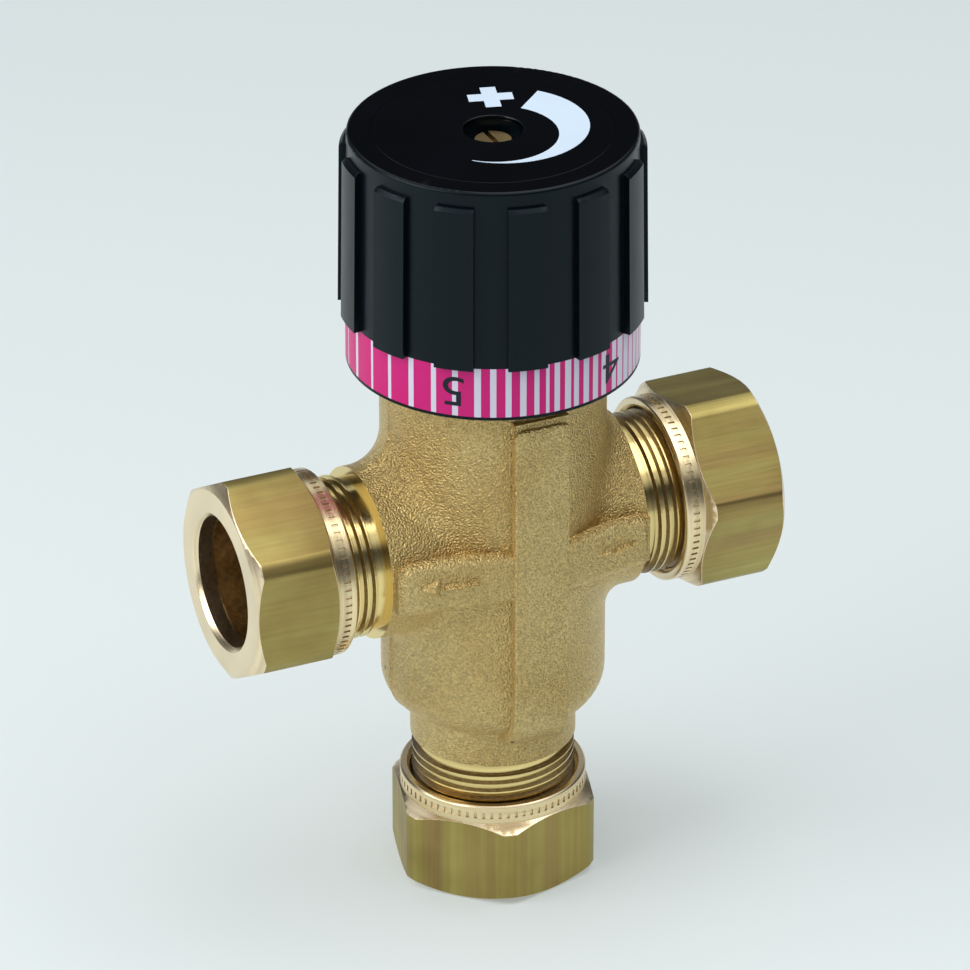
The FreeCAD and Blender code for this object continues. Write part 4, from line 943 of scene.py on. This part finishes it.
for name, (outline, cells) in (("print_crescent", crescent_shape()), ("print_plus", plus_shape())):
    mark = plate(name, outline, cells, disc_top - 0.02 * MM, DISC_HIGH[2])
    mark.data.materials.append(PALE_PRINT)
    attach(mark, "knob_set")

# ======================================================================== scale band
# A printed plastic ring on the knob's skirt. White stripes on pink grow wider towards cold until only
# thin pink lines are left, with plain numbers from 1, cold, to 5, hot, to be read from above.

BAND_LOW, BAND_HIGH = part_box("scale_band")
BAND_RADIUS = (BAND_HIGH[0] - BAND_LOW[0]) / 2
BAND_INNER = 23.42 * MM
NUMBER_STEP = 67.6
FIRST_NUMBER_AT = -129.6
HOT_END = -112.0
NUMBER_SIZE = 7.6 * MM
NUMBER_STRETCH = 1.2
NUMBER_SLICE = 0.25 * MM
PINK_PRINT = print_ink("pink_print", (0.66, 0.010, 0.20), 0.34)
WHITE_PRINT = print_ink("lavender_white_print", (0.74, 0.72, 0.86), 0.34)
DARK_PRINT = print_ink("dark_print", (0.008, 0.010, 0.022), 0.34)
WHITE_STRIPES = (
    (-91.4, -89.4), (-79.2, -77.9), (-69.0, -67.4), (-58.8, -56.5), (-48.9, -46.8), (-40.3, -38.0),
    (-31.7, -29.1), (-25.6, -23.2), (-19.7, -17.4), (-14.1, -11.6), (-8.5, -6.5), (-3.8, -2.4),
    (-0.3, 2.0), (4.2, 6.9), (8.2, 10.5), (12.7, 15.4), (17.4, 20.1), (22.0, 24.7), (28.3, 31.0),
)


def stripe_edges():
    """(end angle, is white) of each stripe, in degrees from the front anticlockwise."""
    stripes = [(-101.5, False), (-100.6, True)]
    for start, end in WHITE_STRIPES:
        stripes.append((start, False))
        stripes.append((end, True))
    angle = 32.0
    while angle < HOT_END + 360:
        stripes.append((angle, False))
        stripes.append((angle + 3.7, True))
        angle += 4.55
    return stripes


def band_angles():
    """Each angle of the ring's outline in radians, and whether white or pink follows it."""
    cuts = [(HOT_END, False)] + [cut for cut in stripe_edges() if cut[0] < HOT_END + 360]
    cuts.append((HOT_END + 360, True))
    for (first, _), (last, white) in zip(cuts, cuts[1:]):
        parts = max(1, round((last - first) / 2.0))
        for part in range(parts):
            yield math.radians(first + (last - first) * part / parts - 90), int(white)


def scale_number(digit, bearing):
    """A digit wrapped on the band, upside down so that it reads from above."""
    text = bpy.data.curves.new(f"number_{digit}", "FONT")
    text.body = str(digit)
    text.size = NUMBER_SIZE
    text.align_x = "CENTER"
    text.extrude = 0.02 * MM
    flat = add_piece(f"scale_number_{digit}", text)
    graph = bpy.context.evaluated_depsgraph_get()
    mesh = bpy.data.meshes.new_from_object(flat.evaluated_get(graph), depsgraph=graph)
    bpy.data.objects.remove(flat)
    edit = bmesh.new()
    edit.from_mesh(mesh)
    bmesh.ops.remove_doubles(edit, verts=edit.verts, dist=1e-7)
    for step in range(-16, 17):
        cut_plane(edit, (step * NUMBER_SLICE, 0, 0), (1, 0, 0))
    bmesh.ops.triangulate(edit, faces=edit.faces)
    heights = [vert.co.y for vert in edit.verts]
    middle = (min(heights) + max(heights)) / 2
    band_middle = (BAND_LOW[2] + BAND_HIGH[2]) / 2
    for vert in edit.verts:
        around = math.radians(bearing - 90) - vert.co.x * NUMBER_STRETCH / BAND_RADIUS
        radius = BAND_RADIUS + 0.01 * MM + vert.co.z
        vert.co = Vector(
            (radius * math.cos(around), radius * math.sin(around), band_middle - vert.co.y + middle)
        )
    bmesh.ops.recalc_face_normals(edit, faces=edit.faces)
    edit.to_mesh(mesh)
    edit.free()
    piece = add_piece(f"scale_number_{digit}", mesh)
    piece.data.materials.clear()
    piece.data.materials.append(DARK_PRINT)
    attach(piece, "knob_set")


band_section = [
    (BAND_INNER, BAND_LOW[2]),
    (BAND_RADIUS, BAND_LOW[2]),
    (BAND_RADIUS, BAND_HIGH[2]),
    (BAND_INNER, BAND_HIGH[2]),
]
band_turns, band_shades = zip(*band_angles())
band = turned_ring("scale_band_print", band_section, band_turns, band_shades)
smooth(band, 40)
band.data.materials.append(PINK_PRINT)
band.data.materials.append(WHITE_PRINT)
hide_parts("scale_band")
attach(band, "knob_set")
for digit in range(1, 6):
    scale_number(digit, FIRST_NUMBER_AT + 360 - NUMBER_STEP * (digit - 1))

# ======================================================================== knob screw and washer
# A slotted brass screw holds the knob down on the spindle's drive. A plain steel washer spreads its
# load on the floor of the recess.

SCREW_BRASS = turned_brass("screw_brass", (0.62, 0.45, 0.20), (0.05, 0.05, 1.0), 0.26)


def plain_steel(name, colour=(0.56, 0.57, 0.59), roughness=0.3):
    material, tree, shader = new_material(name, Metallic=1.0)
    marks = use_group(tree, TOOL_MARKS, Along_X=1.0, Along_Y=1.0, Along_Z=1.0, Line_Width=0.25 * MM)
    dull = tuple(channel * 0.8 for channel in colour)
    tinted = ramp(tree, marks["Streaks"], (0.35, dull), (0.65, colour))
    rough = math_node(tree, "MULTIPLY_ADD", marks["Streaks"], 0.15, roughness - 0.07)
    finish(tree, shader, tinted, rough, marks["Height"], 0.01 * MM)
    return material


STEEL = plain_steel("satin_steel")
finish_node("knob_screw", SCREW_BRASS)
finish_node("screw_washer", STEEL)

# ======================================================================== bonnet, spindle and seals
# The bonnet and spindle are turned from brass bar, as are the adjusting nut, the spring's cap and the
# pressed seats. Moulded rubber rings seal them, and steel clips hold them.

INNER_BRASS = turned_brass("turned_brass_cartridge", (0.88, 0.66, 0.31), (0.03, 0.03, 1.0), 0.2)
SEAL_RUBBER = moulded(
    "seal_rubber", 0.2 * MM, (0.012, 0.012, 0.013), (0.022, 0.022, 0.023), (0.5, 0.12), 0.008 * MM,
    Specular_IOR_Level=0.35,
)
for brass_node in ("bonnet", "spindle", "adjusting_nut", "spring_cap", "hot_seat", "cold_seat"):
    finish_node(brass_node, INNER_BRASS)
for seal_node in ("bonnet_seal", "spindle_seal_lower", "spindle_seal_upper"):
    finish_node(seal_node, SEAL_RUBBER)
for steel_node in ("spindle_clip", "snap_ring", "element_piston", "spring_retainer", "retainer_clip"):
    finish_node(steel_node, STEEL)

# ======================================================================== wax element and discs
# A copper-brass cup filled with wax, which swells with heat and pushes a steel pin out. It carries two
# natural white plastic discs, one over each seat.

ELEMENT_BRASS = turned_brass("element_brass", (0.82, 0.50, 0.27), (0.03, 0.03, 1.0), 0.22)
WHITE_PLASTIC = moulded(
    "natural_white_plastic", 0.3 * MM, (0.62, 0.61, 0.56), (0.72, 0.71, 0.67), (0.38, 0.1), 0.006 * MM
)
finish_node("wax_element", ELEMENT_BRASS)
finish_node("hot_disc", WHITE_PLASTIC)
finish_node("cold_disc", WHITE_PLASTIC)

# ======================================================================== springs
# Cold-wound stainless wire. In the valve the overload spring shortens as its cap climbs; here it rides
# whole with the adjuster.
# The return spring is cut level at its middle: its lower half stays in place and its upper half rides
# with the adjuster.

SPRING_STEEL = plain_steel("spring_wire", (0.62, 0.63, 0.65), 0.22)


def sprung(coil):
    smooth(coil, 60)
    coil.data.materials.clear()
    coil.data.materials.append(SPRING_STEEL)


overload = copy_node("overload_spring", "overload_coil")
sprung(overload)
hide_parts("overload_spring")
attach(overload, "adjuster")
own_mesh(overload)


def half_coil(name, lower):
    """One half of the return spring, cut level at its middle and closed."""
    half = copy_node("return_spring", name)
    edit = bmesh.new()
    edit.from_mesh(half.data)
    middle = (0, 0, coil_middle)
    cut_plane(edit, middle, (0, 0, 1), dist=1e-8, clear_outer=lower, clear_inner=not lower)
    bmesh.ops.holes_fill(edit, edges=[edge for edge in edit.edges if edge.is_boundary])
    bmesh.ops.triangulate(edit, faces=[face for face in edit.faces if len(face.verts) > 4])
    edit.to_mesh(half.data)
    edit.free()
    sprung(half)
    return half


return_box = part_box("return_spring")
coil_middle = (return_box[0][2] + return_box[1][2]) / 2
lower_coil = half_coil("return_coil_lower", True)
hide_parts("return_spring")
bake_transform(lower_coil)
upper_coil = half_coil("return_coil_upper", False)
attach(upper_coil, "adjuster")
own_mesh(upper_coil)

# ======================================================================== studio
# A pale blue-grey paper floor, a large soft light on the left, a broad one overhead and a dark room
# all round, seen by a long-lens camera from above the front left.

PAPER_NEAR = (0.565, 0.605, 0.610)
PAPER_FAR = (0.475, 0.520, 0.525)
GLOW_NEAR = (0.240, 0.262, 0.262)
GLOW_FAR = (0.190, 0.208, 0.208)
AWAY_FROM_CAMERA = (0.414, 0.910, 0)
PAPER_RADIUS = 1.4
PAPER_DROP = 0.1 * MM


def studio_floor():
    """A wide round sheet of paper, a hair below the bottom nut's foot."""
    edit = bmesh.new()
    bmesh.ops.create_circle(edit, cap_ends=True, segments=96, radius=PAPER_RADIUS)
    bmesh.ops.translate(edit, verts=edit.verts, vec=(0, 0, -PAPER_DROP))
    mesh = bpy.data.meshes.new("studio_floor")
    edit.to_mesh(mesh)
    edit.free()
    return add_piece("studio_floor", mesh)


def studio_paper():
    """Graduated paper: a little darker away from the camera, with a faint glow of its own."""
    material, tree, shader = new_material(
        "studio_paper", Roughness=0.8, Specular_IOR_Level=0.1, Emission_Strength=1.0
    )
    depth = node(
        tree, "ShaderNodeVectorMath", operation="DOT_PRODUCT", input0=object_place(tree)
    )
    depth.inputs[1].default_value = AWAY_FROM_CAMERA
    away = math_node(tree, "MULTIPLY_ADD", depth.outputs["Value"], 1.2, 0.3)
    colour = ramp(tree, away, (0.0, PAPER_NEAR), (0.9, PAPER_FAR))
    glow = ramp(tree, away, (0.0, GLOW_NEAR), (0.9, GLOW_FAR))
    tree.links.new(colour, shader.inputs["Base Color"])
    tree.links.new(glow, shader.inputs["Emission Color"])
    return material


floor = studio_floor()
floor.data.materials.append(studio_paper())


def soft_light(name, azimuth, elevation, level):
    """A square light aimed at the valve; level 1 lights a white face square to it fully."""
    distance = 1.0
    light = bpy.data.lights.new(name, "AREA")
    light.size = 0.8
    light.energy = level * math.pi**2 * distance**2
    lamp = add_piece(name, light)
    turn = math.radians(azimuth)
    rise = math.radians(elevation)
    away = Vector((math.sin(turn) * math.cos(rise), -math.cos(turn) * math.cos(rise), math.sin(rise)))
    lamp.location = VALVE_CENTRE + away * distance
    lamp.rotation_euler = away.to_track_quat("Z", "Y").to_euler()


soft_light("left_box", azimuth=-92, elevation=34, level=0.62)
soft_light("top_box", azimuth=70, elevation=72, level=0.34)


def studio_world():
    """Pale to the camera; to the object a bright ceiling over a dark room."""
    world = bpy.data.worlds.new("studio")
    world.use_nodes = True
    tree = world.node_tree
    background = tree.nodes["Background"]
    place = tree.nodes.new("ShaderNodeTexCoord").outputs["Generated"]
    parts = node(tree, "ShaderNodeSeparateXYZ", Vector=place)
    light = ramp(
        tree, parts.outputs["Z"], (0.0, (0.30, 0.31, 0.32)), (0.25, (0.09, 0.093, 0.096)),
        (0.46, (0.03, 0.033, 0.036)), (0.66, (0.78, 0.80, 0.81)),
    )
    seen = tree.nodes.new("ShaderNodeLightPath").outputs["Is Camera Ray"]
    mixed = node(tree, "ShaderNodeMix", data_type="RGBA", input0=seen, input6=light)
    mixed.inputs[7].default_value = (0.68, 0.76, 0.78, 1)
    tree.links.new(mixed.outputs[2], background.inputs["Color"])
    background.inputs["Strength"].default_value = 1.0
    bpy.context.scene.world = world


studio_world()

CAMERA_AZIMUTH = math.radians(-24.465)
CAMERA_ELEVATION = math.radians(28.591)
CAMERA_DISTANCE = 1287.18 * MM
CAMERA_LENS = 284.27
AIM_LEFT = 1.319 * MM
AIM_UP = 6.337 * MM
camera = bpy.data.cameras.new("camera")
camera.sensor_width = 36
camera.lens = CAMERA_LENS
camera_object = add_piece("camera", camera)
right = Vector((math.cos(CAMERA_AZIMUTH), math.sin(CAMERA_AZIMUTH), 0))
back = Vector(
    (
        math.sin(CAMERA_AZIMUTH) * math.cos(CAMERA_ELEVATION),
        -math.cos(CAMERA_AZIMUTH) * math.cos(CAMERA_ELEVATION),
        math.sin(CAMERA_ELEVATION),
    )
)
up = back.cross(right)
camera_object.matrix_world = Matrix(
    (
        (right.x, up.x, back.x, 0),
        (right.y, up.y, back.y, 0),
        (right.z, up.z, back.z, 0),
        (0, 0, 0, 1),
    )
)
camera_object.location = VALVE_CENTRE + back * CAMERA_DISTANCE - right * AIM_LEFT + up * AIM_UP
bpy.context.scene.camera = camera_object
bpy.context.scene.view_settings.view_transform = "Standard"
